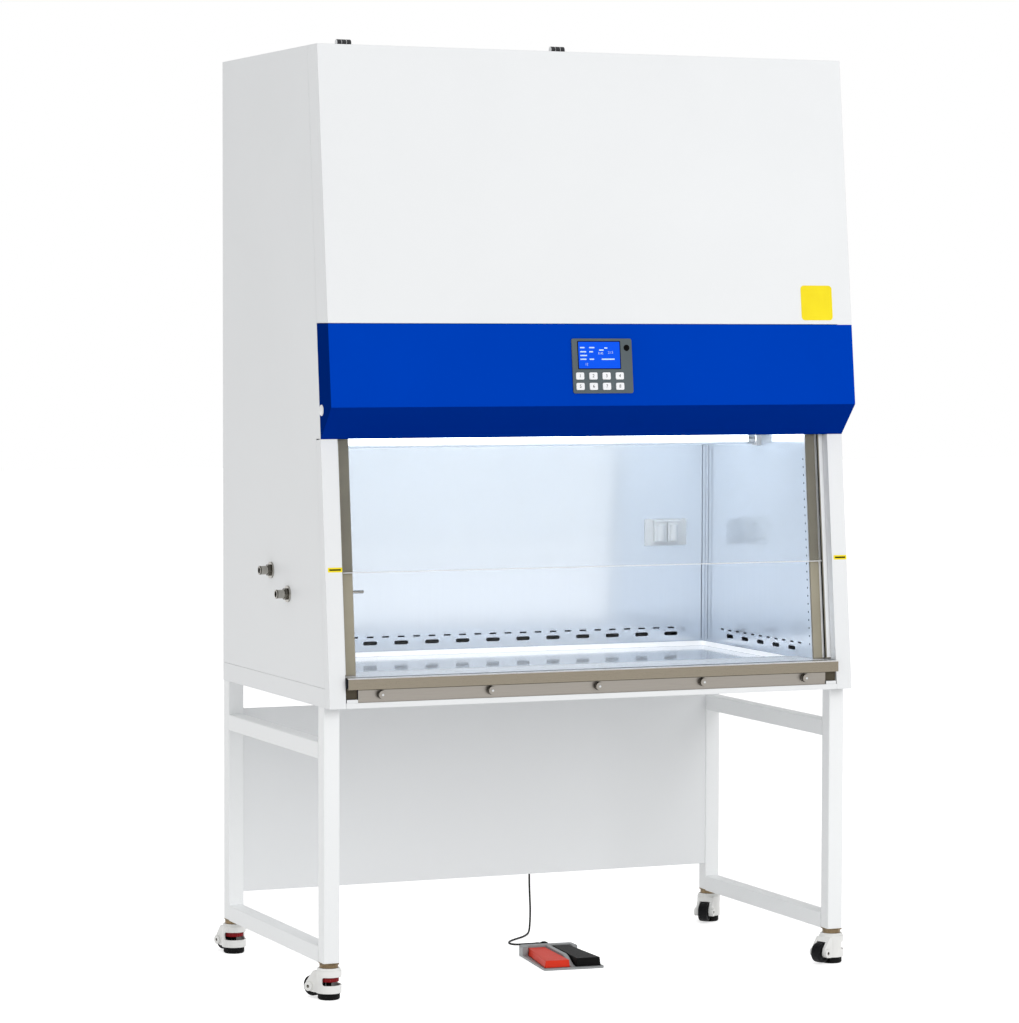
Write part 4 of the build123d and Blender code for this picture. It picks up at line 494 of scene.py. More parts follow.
def dotted_steel():
    """Brushed steel of the front grille: brown nose, a top with a painted reflection and a painted shade line at its
    bend, a painted highlight on the nose's top edge and a row of fine round holes.
    """
    material, tree, shader = start_material("dotted_steel", Metallic=1.0)
    streak = use(tree, GRAIN, {"Stretch": (0.04, 1.0, 1.0), "Size": 700.0, "Detail": 6.0})
    axes = object_axes(tree)
    # Painted reflection: the top is coloured pale and made mostly non-metal; a dark band across it is a painted shade
    # line at the bend.
    top = past(tree, axes[2], (GRILLE_Z - 0.6) * MM)
    fold_shade = within(tree, axes[1], *map(world_y, FOLD_Y))
    base = blend_colours(tree, streak, (0.255, 0.225, 0.175), (0.295, 0.26, 0.205))
    bright = blend_colours(tree, fold_shade, (0.90, 0.92, 0.94), (0.06, 0.055, 0.05))
    base = blend_colours(tree, top, base, bright)
    # Painted highlight: a near-white line along the nose's rounded top edge.
    lip = within(tree, axes[1], *map(world_y, LIP_Y))
    crest_highlight = maths(tree, "MULTIPLY", past(tree, axes[2], (GRILLE_Z - 2.6) * MM), lip)
    base = blend_colours(tree, crest_highlight, base, (1.0, 0.99, 0.97))
    tree.links.new(between(tree, top, 1.0, 0.25), shader.inputs["Metallic"])
    holes = hole_row(tree)
    normal = use(tree, SOFT_EDGES, {"Radius": 0.001, "Height": streak, "Depth": 0.00001})
    colour = blend_colours(tree, holes, base, (0.01, 0.01, 0.012))
    shade(tree, shader, colour, between(tree, streak, 0.24, 0.38), normal)
    return material


def sill_steel():
    """Satin steel of the sill strip, with a painted shadow as a dark band under the grille's nose."""
    material, tree, shader = start_material("sill_steel", Metallic=1.0)
    axes = object_axes(tree)
    # Painted shadow: a dark band where the grille's nose overhangs the strip.
    joint = past(tree, axes[2], (NOSE_BOTTOM_Z - 3.0) * MM)
    streak = use(tree, GRAIN, {"Stretch": (0.05, 1.0, 1.0), "Size": 300.0, "Detail": 6.0})
    steel = blend_colours(tree, streak, (0.325, 0.30, 0.27), (0.36, 0.335, 0.30))
    shade(tree, shader, blend_colours(tree, joint, steel, (0.10, 0.09, 0.07)), between(tree, streak, 0.28, 0.42),
          use(tree, SOFT_EDGES, {"Radius": 0.0008, "Height": streak, "Depth": 0.00001}))
    return material


def hole_row(tree):
    """Mask of round holes: the distance from the nearest of a row of centres along X, under a radius."""
    axes = object_axes(tree)
    wrapped = maths(tree, "WRAP", axes[0], HOLE_PITCH * MM, 0.0)
    across = maths(tree, "SUBTRACT", wrapped, HOLE_PITCH * MM / 2)
    along = maths(tree, "SUBTRACT", axes[1], world_y(HOLE_ROW_Y))
    spot = node(tree, "ShaderNodeCombineXYZ", {0: across, 1: along})
    distance = node(tree, "ShaderNodeVectorMath", {0: spot.outputs[0]}, operation="LENGTH")
    return maths(tree, "LESS_THAN", distance.outputs[1], HOLE_RADIUS * MM)


LAMP_STRENGTH = 4.0
LAMP_SPLIT_Y = 100.0
LAMP_Z = 1304.0
LAMP_GLOW_HALF = 597.0
SENSOR_SPLIT_X = 58.0
HOLE_PITCH = 6.0
HOLE_RADIUS = 2.0
HOLE_ROW_Y = -251.5
FOLD_Y, LIP_Y = (-392.0, -370.0), (-401.0, -396.5)
NOSE_BOTTOM_Z = 738.0

WHITE = powder_coat("white_coat", (0.88, 0.895, 0.905), (0.85, 0.865, 0.875))
WHITE_TUBE = powder_coat("white_tube_coat", (0.95, 0.965, 0.97), (0.92, 0.935, 0.94), radius=0.0015)
BLUE = blue_coat()
BROWN_STEEL = brushed_metal("guide_steel", (0.36, 0.335, 0.275), (0.29, 0.268, 0.22), (1.0, 1.0, 0.03), depth=0.00001,
                            metallic=0.45)
SILL_STEEL = sill_steel()
GRILLE_STEEL = dotted_steel()
LINER = brushed_metal("liner_steel", (0.84, 0.90, 0.975), (0.80, 0.865, 0.945), (1.0, 1.0, 0.05),
                      roughness=(0.12, 0.17), depth=0.000006, metallic=0.6)
TRAY = tray_steel()
ALUMINIUM = brushed_metal("anodised_aluminium", (0.72, 0.73, 0.74), (0.58, 0.59, 0.60), (0.05, 1.0, 1.0))
ZINC = brushed_metal("zinc_sheet", (0.66, 0.68, 0.70), (0.48, 0.50, 0.53), (1.0, 0.6, 1.0), size=25.0)
RACE = brushed_metal("race_bronze", (0.30, 0.22, 0.13), (0.07, 0.05, 0.03), (1.0, 1.0, 0.4), roughness=(0.22, 0.4))
CHROME = brushed_metal("polished_fitting", (0.45, 0.435, 0.40), (0.32, 0.305, 0.28), (1.0, 1.0, 1.0),
                       roughness=(0.08, 0.2))
DARK_CHROME = brushed_metal("dark_fitting", (0.16, 0.15, 0.13), (0.07, 0.065, 0.055), (1.0, 1.0, 1.0),
                            roughness=(0.1, 0.2))
GLASS = pane_glass()
LAMP = lamp_finish()
MEDIA = pleated_media()
SCREEN = screen_finish()
PLATE_GREY = moulded("plate_grey", (0.085, 0.108, 0.118), 0.42)
KEY_WHITE = moulded("key_white", (0.86, 0.87, 0.90), 0.35)
SOCKET_WHITE = moulded("socket_white", (0.80, 0.82, 0.83), 0.25, coat=0.3)
KNOB = moulded("knob_yellow", (0.80, 0.55, 0.03), 0.3, coat=0.4)
BELT = moulded("belt_black", (0.012, 0.012, 0.012), 0.7)
MOTOR = moulded("motor_black", (0.03, 0.031, 0.034), 0.45, grain_size=700.0)
CASTING = moulded("caster_white", (0.82, 0.82, 0.80), 0.34, radius=0.0015, coat=0.2)
TYRE = moulded("tyre_black", (0.005, 0.005, 0.006), 0.45, sheen=0.12)
PAD = moulded("pad_black", (0.004, 0.004, 0.004), 0.62, sheen=0.1)
THUMB_RED = moulded("thumb_red", (0.22, 0.003, 0.006), 0.32, sheen=0.15)
CAST_GREY = moulded("switch_grey", (0.31, 0.32, 0.325), 0.42, grain_size=500.0, depth=0.0001, radius=0.002)
PEDAL_RED = moulded("pedal_red", (0.72, 0.042, 0.018), 0.38, radius=0.002, sheen=0.08)
PEDAL_BLACK = moulded("pedal_black", (0.006, 0.006, 0.006), 0.42, radius=0.002, sheen=0.05)
# Painted light: a lit copy of the guides' brown steel, laid over the shade in their channels.
LIT_BROWN_COVER = moulded("painted_lit_brown", (0.34, 0.31, 0.235), 0.4, sheen=0.3)
# Painted shade: brown steel darkened as it looks deep in the recesses beside the sill.
SHADED_RECESS = moulded("shaded_recess_brown", (0.085, 0.072, 0.05), 0.5, sheen=0.1)
CABLE = moulded("cable_black", (0.012, 0.012, 0.012), 0.5, sheen=0.1)
SEAM_GREY = moulded("seam_grey", (0.20, 0.22, 0.25), 0.5, sheen=0.1)
YELLOW = moulded("label_yellow", (0.93, 0.74, 0.0), 0.35)
INK = moulded("ink_black", (0.003, 0.003, 0.003), 0.5, sheen=0.05)
CAP_WHITE = moulded("cap_white", (0.86, 0.87, 0.88), 0.3, coat=0.3)
HOLE_DARK = moulded("hole_dark", (0.003, 0.003, 0.004), 0.8, sheen=0.0)
PALE_INK = moulded("screen_ink", (0.62, 0.80, 1.0), 0.3)

FINISHES = {
    "outer_shell": WHITE, "top_panel": WHITE, "front_cover": WHITE, "base_tray": WHITE, "modesty_panel": WHITE,
    "stand_frame": WHITE_TUBE, "control_panel": BLUE, "display_plate": PLATE_GREY, "display_screen": SCREEN,
    "inner_walls": LINER, "work_tray": TRAY, "front_grille": GRILLE_STEEL, "sill_strip": SILL_STEEL,
    "sash_guides": BROWN_STEEL, "sash_glass": GLASS, "sash_rail": ALUMINIUM, "drive_shaft": ALUMINIUM,
    "idler_pulleys": ALUMINIUM, "drive_belts": BELT, "sash_motor": MOTOR, "chamber_lamps": LAMP,
    "socket_plate": SOCKET_WHITE, "socket_flap_left": SOCKET_WHITE, "socket_flap_right": SOCKET_WHITE,
    "service_taps": CHROME, "tap_knob_rear": KNOB, "tap_knob_front": KNOB, "air_filters": MEDIA,
    "blower_housing": ZINC, "blower_wheel": ZINC, "caster_plates": RACE, "pedal_base": CAST_GREY,
    "pedal_left": PEDAL_RED, "pedal_right": PEDAL_BLACK, "cable_glands": PAD, "foot_switch_cable": CABLE,
}
for number in range(1, 9):
    FINISHES[f"key_{number}"] = KEY_WHITE
for corner in POSTS:
    FINISHES[f"{corner}_caster_housing"] = CASTING
    FINISHES[f"{corner}_caster_wheel"] = TYRE
    FINISHES[f"{corner}_caster_thumbwheel"] = THUMB_RED
    FINISHES[f"{corner}_caster_foot"] = PAD


def dress_nodes():
    """Gives every carried-over node its finish."""
    for name, finish in FINISHES.items():
        slots = nodes[name].material_slots
        if not slots:
            nodes[name].data.materials.append(finish)
        for held in nodes[name].material_slots:
            held.material = finish


dress_nodes()


# ---------------------------------------------------------------- foot switch cable

CABLE_DIAMETER = 5.0
CABLE_POINTS = [(150.0, 379.0, 677.0), (150.0, 379.0, 150.0), (152.0, 379.0, 100.0), (154.0, 379.0, 58.0),
                (150.0, 372.0, 22.0), (138.0, 350.0, 5.0), (120.0, 322.0, 2.6), (94.0, 292.0, 2.6),
                (61.0, 266.0, 2.6), (36.0, 242.0, 2.6), (25.0, 219.0, 2.6), (24.5, 201.5, 2.6), (36.0, 190.0, 2.6),
                (52.0, 188.0, 3.0), (63.0, 176.0, 5.0), (66.0, 152.0, 9.0), (65.8, 128.0, 14.5),
                (62.2169, 98.6231, 18.0), (59.7249, 72.7428, 18.0)]


def make_cable():
    """Round cable on one smooth curve from the cabinet's underside to the foot switch."""
    curve = bpy.data.curves.new("foot_cable", "CURVE")
    curve.dimensions, curve.bevel_depth, curve.bevel_resolution = "3D", CABLE_DIAMETER / 2 * MM, 6
    curve.resolution_u, curve.use_fill_caps = 12, True
    spline = curve.splines.new("NURBS")
    spline.points.add(len(CABLE_POINTS) - 1)
    for point, where in zip(spline.points, place(CABLE_POINTS)):
        point.co = (*where, 1.0)
    spline.order_u, spline.use_endpoint_u = 3, True
    cable = finish_piece(bpy.data.objects.new("foot_cable", curve), CABLE, "cabinet")
    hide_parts("foot_switch_cable")


make_cable()


# ---------------------------------------------------------------- casters

def caster_point(corner, forward, aside, z):
    """Point of a caster in its own axes: forward along its trail, aside along its axle."""
    x, y, turn = POSTS[corner]
    a = radians(turn)
    return (x + forward * cos(a) - aside * sin(a), y + forward * sin(a) + aside * cos(a), z)


def caster_axle(corner):
    """Unit vector along a caster's axle."""
    a = radians(POSTS[corner][2])
    return (-sin(a), cos(a), 0.0)


def make_caster_wheel(corner):
    """Tyre and hub in one turned loop: crowned tread, round shoulders, dished sides and a boss round the axle."""
    half, crown = WHEEL_WIDTH / 2, 0.5
    shoulder = np.linspace(0, pi / 2, 6)
    tread = np.linspace(-1, 1, 9)
    right = np.column_stack([WHEEL_RADIUS - 3.0 - crown + 3.0 * np.cos(shoulder[::-1]), half - 3.0 + 3.0 * np.sin(
        shoulder[::-1])])[::-1]
    loop = [(4.1, -half + 1), (8, -half + 0.6), (9, -half + 2), (16.5, -half + 2.2), (18, -half + 0.3),
            (WHEEL_RADIUS - 3.0 - crown, -half)]
    loop += [(r, -h) for r, h in right[::-1][1:]]
    loop += [(WHEEL_RADIUS - crown * t * t, t * (half - 3.0)) for t in tread[1:-1]]
    loop += [(r, h) for r, h in right]
    loop += [(18, half - 0.3), (16.5, half - 2.2), (9, half - 2), (8, half - 0.6), (4.1, half - 1)]
    grid = turned(loop, caster_point(corner, TRAIL, 0, AXLE_Z), caster_axle(corner), segments=72)
    wheel = add_piece(f"{corner}_tyre", [grid], TYRE, f"{corner}_wheel", loops=True)
    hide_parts(f"{corner}_caster_wheel")


def make_caster_thumbwheel(corner):
    """Knurled nut wheel: the rim's radius ripples with the angle, the hub's doesn't."""
    low, high = THUMBWHEEL_Z
    rim = THUMBWHEEL_RADIUS - 0.6

    def knurl(angle, radius):
        """Ripple of the rim's radius with the angle."""
        return np.where(radius > rim - 2.5, 0.6 * np.cos(24 * angle), 0.0)

    loop = [(6.1, low + 1), (9, low + 0.4), (rim - 3, low), (rim - 1, low + 0.4), (rim, low + 1.4), (rim, high - 1.4),
            (rim - 1, high - 0.4), (rim - 3, high), (9, high), (6.1, high)]
    x, y, _ = POSTS[corner]
    wheel = add_piece(f"{corner}_nut_wheel", [turned(loop, (x, y, 0), (0, 0, 1), 144, knurl)], THUMB_RED,
                      f"{corner}_thumbwheel", loops=True)
    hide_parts(f"{corner}_caster_thumbwheel")


def make_axle_heads(corner):
    """Domed rivet heads at both ends of a caster's axle."""
    dome = [(0, 1.3), (1.6, 1.2), (3.0, 0.8), (3.8, 0.2), (4.0, 0.0), (0, 0.0)]
    axle = np.array(caster_axle(corner))
    heads = [turned(dome, caster_point(corner, TRAIL, side * AXLE_HEAD_OUT, AXLE_Z), side * axle, 24)
             for side in (-1, 1)]
    add_piece(f"{corner}_axle_heads", heads, DARK_CHROME, f"{corner}_housing")


def make_caster_collar(corner):
    """Rounded collar that the housing's casting carries up round the race."""
    x, y, _ = POSTS[corner]
    low, high = 69.8, 75.2
    inner = RACE_RADIUS + 0.5
    profile = [(inner, low), (28.6, low), (28.4, 72.0), (27.2, 74.2), (25.6, high), (inner, high)]
    add_piece(f"{corner}_collar", [turned(profile, (x, y, 0), (0, 0, 1), 64)], CASTING, f"{corner}_housing",
              loops=True)


AXLE_HEAD_OUT = 25.8
RACE_RADIUS = 22.5
for corner in POSTS:
    make_caster_wheel(corner)
    make_caster_thumbwheel(corner)
    make_caster_collar(corner)
    make_axle_heads(corner)


# ---------------------------------------------------------------- fascia: plates, keys and screen marks

FASCIA_NORMAL = (0.0, -cos(FASCIA_TILT), sin(FASCIA_TILT))
SLOPE_NORMAL = (0.0, -cos(FRONT_TILT), sin(FRONT_TILT))
RIGHT = (1.0, 0.0, 0.0)


def on_fascia(x, z, lift=0.0):
    """Point on the fascia's face at x and height z, lifted off it."""
    return np.array([x, fascia_y(z), z]) + lift * np.array(FASCIA_NORMAL)


def on_plate(x, up, lift=0.0):
    """Point on the display plate: x and up from its centre along the face."""
    rise = np.array([0.0, sin(FASCIA_TILT), cos(FASCIA_TILT)])
    return on_fascia(PLATE_CENTRE[0], PLATE_CENTRE[1], lift) + x * np.array(RIGHT) + up * rise


PLATE_THICK = 3.0
KEY_TOP = PLATE_THICK + 2.5
KEY_PITCH = (34.8, 25.0)
KEY_FIRST = (-61.0, -24.5)
SCREEN_OFFSET = (-8.0, 26.0)
SCREEN_SIZE = (110.0, 65.0)
SCREEN_TOP = PLATE_THICK + 0.6


def make_text(name, words, size, centre, normal, finish, body, thick=0.15):
    """Flat letters as a mesh, centred at a point on a face that faces along normal, reading along X."""
    curve = bpy.data.curves.new(name + "_words", "FONT")
    curve.body, curve.size, curve.align_x, curve.align_y = words, size * MM, "CENTER", "CENTER"
    curve.extrude, curve.resolution_u = thick / 2 * MM, 3
    holder = bpy.data.objects.new(name + "_words", curve)
    bpy.context.scene.collection.objects.link(holder)
    bpy.context.view_layer.update()
    mesh = bpy.data.meshes.new_from_object(holder)
    bpy.data.objects.remove(holder)
    mesh.name = name
    first, second, up = basis(normal, RIGHT)
    turn = Matrix((*[(*row, 0.0) for row in np.column_stack([first, second, up])], (0, 0, 0, 1)))
    mesh.transform(Matrix.Translation(place(centre)) @ turn)
    return finish_piece(bpy.data.objects.new(name, mesh), finish, body)


def make_key_marks():
    """A plain number on each key."""
    for number in range(8):
        row, column = divmod(number, 4)
        x, up = KEY_FIRST[0] + column * KEY_PITCH[0], KEY_FIRST[1] - row * KEY_PITCH[1]
        make_text(f"key_mark_{number + 1}", str(number + 1), 11.0, on_plate(x, up, KEY_TOP + 0.05), FASCIA_NORMAL,
                  INK, f"key_{number + 1}")


def make_screen_marks():
    """Rows of short bars and figures on the screen, and a thin frame round it."""
    bars = []
    rows = [(-44, 18, 12), (-44, 8, 16), (-44, -1, 18), (-44, -10, 16), (-20, 18, 14), (-20, 8, 10), (-20, -10, 12),
            (12, -10, 34), (6, 12, 12), (20, 17, 8)]
    for x, up, width in rows:
        centre = on_plate(SCREEN_OFFSET[0] + x + width / 2 - 6, SCREEN_OFFSET[1] + up, SCREEN_TOP)
        bars.append(raised_plate((width, 3.2), 0.2, 0.8, 0.08, centre, FASCIA_NORMAL, RIGHT))
    add_piece("screen_bars", bars, PALE_INK, "cabinet")
    for index, (x, up, words) in enumerate([(4, 4, "0.45"), (30, 6, "21.5"), (-34, -22, "12")]):
        make_text(f"screen_figure_{index + 1}", words, 8.0, on_plate(SCREEN_OFFSET[0] + x, SCREEN_OFFSET[1] + up,
                                                                    SCREEN_TOP + 0.1), FASCIA_NORMAL, PALE_INK,
                  "cabinet", thick=0.2)
    frame_size = (SCREEN_SIZE[0] + 3.0, SCREEN_SIZE[1] + 3.0)
    rim = ring_plate(frame_size, (SCREEN_SIZE[0] - 1.0, SCREEN_SIZE[1] - 1.0), 1.0, 2.0,
                     on_plate(*SCREEN_OFFSET, PLATE_THICK + 0.02), FASCIA_NORMAL, RIGHT)
    add_piece("screen_rim", [rim], INK, "cabinet", loops=True)
    dome = [(0, 1.6), (3, 1.5), (5.5, 1.1), (7.2, 0.4), (7.6, 0.0), (0, 0.0)]
    add_piece("sensor_dome", [turned(dome, on_plate(65.0, 43.5, PLATE_THICK), FASCIA_NORMAL, 40)], INK, "cabinet")


def make_signs():
    """Bare yellow plate on the cover, and a yellow mark with a black bar on each front trim."""
    yellow = raised_plate((86, 86), 0.8, 9.0, 0.3, on_fascia(595.0, 1649.0), FASCIA_NORMAL, RIGHT)
    add_piece("yellow_plate", [yellow], YELLOW, "cover")
    for name, x in (("left", -665.0), ("right", 672.0)):
        centre = np.array([x, front_y(1018.0), 1018.0])
        mark = raised_plate((36, 11), 0.35, 1.0, 0.1, centre, SLOPE_NORMAL, RIGHT)
        add_piece(f"{name}_height_mark", [mark], YELLOW, "cabinet")
        bar = raised_plate((29, 3.6), 0.25, 0.6, 0.08, centre + 0.36 * np.array(SLOPE_NORMAL), SLOPE_NORMAL, RIGHT)
        add_piece(f"{name}_height_bar", [bar], INK, "cabinet")


def make_side_caps():
    """Round domed caps on both sides of the control panel."""
    dome = [(0, 3.4), (6, 3.2), (10, 2.6), (12.6, 1.4), (13.5, 0.0), (0, 0.0)]
    for name, side in (("left", -1), ("right", 1)):
        cap = turned(dome, (side * HALF_WIDTH, -334.0, 1392.0), (side, 0, 0), 48)
        add_piece(f"{name}_panel_cap", [cap], CAP_WHITE, "cabinet")


def make_cable_boot():
    """Low black rubber boot on the foot switch's rear edge, over the cable's entry."""
    centre = (55.0, 62.0, 24.6)
    profile = [(0, 5.4), (4, 5.0), (8, 3.6), (10.6, 1.6), (11.6, 0.0), (0, 0.0)]
    add_piece("cable_boot", [turned(profile, centre, (0, 0, 1), 40)], PAD, "cabinet")


make_cable_boot()
make_key_marks()
make_screen_marks()
make_signs()
make_side_caps()


# ---------------------------------------------------------------- small fasteners

DOME = [(0, 2.2), (1.6, 2.1), (3.0, 1.7), (4.2, 0.9), (4.8, 0.0), (0, 0.0)]
SOCKETED = [(0, 0.9), (1.7, 0.9), (1.9, 2.2), (3.2, 1.9), (4.4, 1.0), (5.0, 0.0), (0, 0.0)]


def make_screws(name, places, normal, body, finish=CHROME, profile=SOCKETED):
    """Button-head screws at places on a face."""
    add_piece(name, [turned(profile, where, normal, 20) for where in places], finish, body)


def make_thumb_screws():
    """Knurled heads on the sill strip: rim radius rippled, with a turned face and a slot's ring; a dark head round a
    bright face is painted shade and highlight.
    """
    def knurl(angle, radius):
        """Ripple of the rim's radius with the angle."""
        return np.where(radius > 9.0, 0.28 * np.cos(36 * angle), 0.0)

    face_y = FRONT_FOOT_Y + 4.0
    profile = [(0, 11.4), (4.6, 11.4), (7.4, 11.8), (8.4, 12.6), (9.6, 12.2), (10.2, 11.2), (10.2, 3.2), (9.6, 2.2),
               (6.2, 1.8), (6.2, 0.0), (0, 0.0)]
    face = [(0, 13.4), (2.4, 13.2), (3.8, 12.6), (4.4, 11.6), (4.4, 11.2), (0, 11.2)]
    for index in range(5):
        x = (index - 2) * 280.0
        head = turned(profile, (x, face_y, 724.0), (0, -1, 0), 144, knurl)
        # Painted shade and highlight: a dark metal for the knurled head, a bright one for its face.
        add_piece(f"thumb_screw_{index + 1}", [head], DARK_CHROME, "cabinet")
        disc = turned(face, (x, face_y, 724.0), (0, -1, 0), 48)
        add_piece(f"thumb_screw_face_{index + 1}", [disc], ALUMINIUM, "cabinet")


def make_hinges():
    """Dark hinge barrels in three knuckles with their leaves, over the ones that carry the cover."""
    hinge_y, hinge_z = front_y(HEIGHT) - 0.5, HEIGHT + 8.0
    half = 6.0
    for number, x in enumerate(HINGE_X):
        def barrel(middle, length):
            """One knuckle on the pin, with broken edges."""
            edge = 0.8
            rows = [(0, -length / 2), (8.4 - edge, -length / 2), (8.4, -length / 2 + edge), (8.4, length / 2 - edge),
                    (8.4 - edge, length / 2), (0, length / 2)]
            return turned(rows, (middle, hinge_y, hinge_z), (1, 0, 0), 40)
        add_piece(f"hinge_{number + 1}_middle", [barrel(x, 2 * half)], MOTOR, "cabinet")
        outer = [barrel(x + side * (half + 0.5 + 5.75), 11.4) for side in (-1, 1)]
        add_piece(f"hinge_{number + 1}_outer", outer, MOTOR, "cover")
        back = raised_plate((34, 20), 3.4, 2.0, 0.8, (x, hinge_y + 17.5, HEIGHT), (0, 0, 1), RIGHT)
        add_piece(f"hinge_{number + 1}_back_leaf", [back], MOTOR, "cabinet")
        front = raised_plate((34, 18), 3.4, 2.0, 0.8, (x, hinge_y - 17.5, HEIGHT), (0, 0, 1), RIGHT)
        add_piece(f"hinge_{number + 1}_front_leaf", [front], MOTOR, "cover")


def make_capture_holes():
    """Column of small suction holes down each side wall behind the glass."""
    for name, side in (("left", -1), ("right", 1)):
        holes = []
        for index in range(24):
            z = 800.0 + index * 20.0
            y = front_y(z) + 62.0
            holes.append(turned([(0, 0.15), (2.2, 0.15), (2.6, 0.0), (0, 0.0)], (side * CHAMBER_HALF, y, z),
                                (-side, 0, 0), 16))
        add_piece(f"{name}_capture_holes", holes, HOLE_DARK, "cabinet")


def make_corner_seams():
    """Grey joint lines where the chamber's back meets its side walls, from the slots to the ceiling."""
    low, high = SEAM_Z
    middle, tall = (low + high) / 2, high - low
    for name, side in (("left", -1), ("right", 1)):
        on_back = raised_plate((2.4, tall), 0.4, 0.3, 0.1, (side * (CHAMBER_HALF - 14.0), WALL_BACK_Y, middle),
                               (0, -1, 0), RIGHT)
        on_side = raised_plate((3.0, tall), 0.4, 0.3, 0.1, (side * CHAMBER_HALF, WALL_BACK_Y - 9.0, middle),
                               (-side, 0, 0), (0, 1, 0))
        add_piece(f"{name}_corner_seams", [on_back, on_side], SEAM_GREY, "cabinet")


CHANNEL_DEPTH, LIP_DEPTH = 39.9, 25.9
# Painted light and shade down each guide: a lit brown cover hides the channel's shade, a pale band is a painted
# reflection on its side, a dark line is painted shade, and a white strip lightens the shaded trim face.
PAINTED_LIGHT_STRIPS = [("cover", 620.0, 24.0, 1.0, CHANNEL_DEPTH, LIT_BROWN_COVER, "stainless"),
               ("reflection_band", 635.0, 5.5, 1.6, CHANNEL_DEPTH, CAP_WHITE, "key_plastic"),
               ("shade_line", 639.6, 3.0, 0.6, CHANNEL_DEPTH, HOLE_DARK, "belt_rubber"),
               ("edge", 643.3, 10.4, 1.0, LIP_DEPTH, CAP_WHITE, "key_plastic")]


def make_guide_light_strips():
    """Painted light and shade down both guides: a lit brown cover, a pale reflection band and a dark shade line behind
    the glass, a white strip before it.
    """
    low, high = 772.0, 1394.0
    length = (high - low) / cos(FRONT_TILT)
    z = (low + high) / 2
    for name, side in (("left", -1), ("right", 1)):
        for part, x, width, lift, depth, finish, slot in PAINTED_LIGHT_STRIPS:
            centre = np.array([side * x, front_y(z), z]) - depth * np.array(SLOPE_NORMAL)
            strip = raised_plate((width, length), lift, 0.4, 0.3, centre, SLOPE_NORMAL, RIGHT)
            add_piece(f"{name}_guide_{part}", [strip], finish, "cabinet")


def make_sill_ends():
    """Brown end plates beside the sill strip, darkened with painted shade of their recess, over a low white lip of the
    base.
    """
    for name, side in (("left", -1), ("right", 1)):
        x = side * SILL_END_X
        plate = raised_plate((28, 24), 0.8, 0.5, 0.2, (x, FRONT_FOOT_Y + 9.0, 726.0), (0, -1, 0), RIGHT)
        add_piece(f"{name}_sill_end", [plate], SHADED_RECESS, "cabinet")
        lip = raised_plate((28, 8), 0.8, 0.5, 0.2, (x, FRONT_FOOT_Y + 2.0, 710.0), (0, -1, 0), RIGHT)
        add_piece(f"{name}_sill_lip", [lip], WHITE, "cabinet")


def make_glass_edge():
    """Ground lower edge of the sliding glass, a fine pale line."""
    z = SASH_BOTTOM_Z + GLASS_EDGE_LIFT
    centre = np.array([0.0, front_y(z), z]) - GLASS_EDGE_DEPTH * np.array(SLOPE_NORMAL)
    strip = raised_plate((1288, 2.0), 0.15, 0.3, 0.05, centre, SLOPE_NORMAL, RIGHT)
    add_piece("glass_edge", [strip], CAP_WHITE, "sash")


def make_panel_screws():
    """Screws that hold the rear sheet and the roof."""
    rear = [(x, BACK_Y, z) for z in (765.0, 2225.0) for x in np.linspace(-660, 660, 7)]
    rear += [(side * 660.0, BACK_Y, z) for side in (-1, 1) for z in np.linspace(1010, 1980, 5)]
    make_screws("rear_sheet_screws", rear, (0, 1, 0), "cabinet", profile=DOME)
    roof = [(x, y, HEIGHT) for y in (-200.0, 370.0) for x in np.linspace(-660, 660, 6) if y > 0 or abs(x + 600) > 90]
    roof += [(side * 660.0, y, HEIGHT) for side in (-1, 1) for y in (-10.0, 180.0)]
    make_screws("roof_screws", roof, (0, 0, 1), "cabinet", profile=DOME)


def make_port_rings():
    """Lock nut and end bead on each service pipe outside the left wall."""
    for name, y, z in (("rear", 21.5, 995.0), ("front", -100.0, 945.0)):
        def hexagon(angle, radius):
            """Change of radius that cuts the nut's six flats."""
            flat = 15.5 * cos(pi / 6) / np.cos((angle + pi / 6) % (pi / 3) - pi / 6)
            return np.where(radius > 14, np.minimum(flat, radius) - radius, 0.0)
        nut = turned([(10.6, 4.0), (14.5, 4.0), (15.5, 4.8), (15.5, 10.4), (14.5, 11.2), (10.6, 11.2)],
                     (-HALF_WIDTH, y, z), (-1, 0, 0), 72, hexagon)
        bead = turned([(7.6, 30.6), (9.6, 32.0), (10.9, 31.2), (11.1, 29.6), (10.6, 28.4), (7.6, 28.0)],
                      (-HALF_WIDTH, y, z), (-1, 0, 0), 48)
        add_piece(f"{name}_port_rings", [nut, bead], DARK_CHROME, "cabinet", loops=True)


def make_lamp_caps():
    """Turned metal caps at both ends of each lamp tube."""
    for name, half, y, z in (("chamber", 598.0, -25.0, LAMP_Z), ("wall", 447.5, 240.0, 1362.0)):
        caps = []
        for side in (-1, 1):
            rows = [(13.1, -22), (13.4, -21), (13.4, -3), (12.6, -1), (12.0, 0), (9.0, 0.2), (9.0, -22)]
            caps.append(turned(rows, (side * half, y, z), (side, 0, 0), 40))
        add_piece(f"{name}_lamp_caps", caps, ALUMINIUM, "cabinet", loops=True)


make_thumb_screws()
make_hinges()
make_capture_holes()
make_corner_seams()
make_guide_light_strips()
make_sill_ends()
make_glass_edge()
make_panel_screws()
make_port_rings()
make_lamp_caps()


# ---------------------------------------------------------------- stage

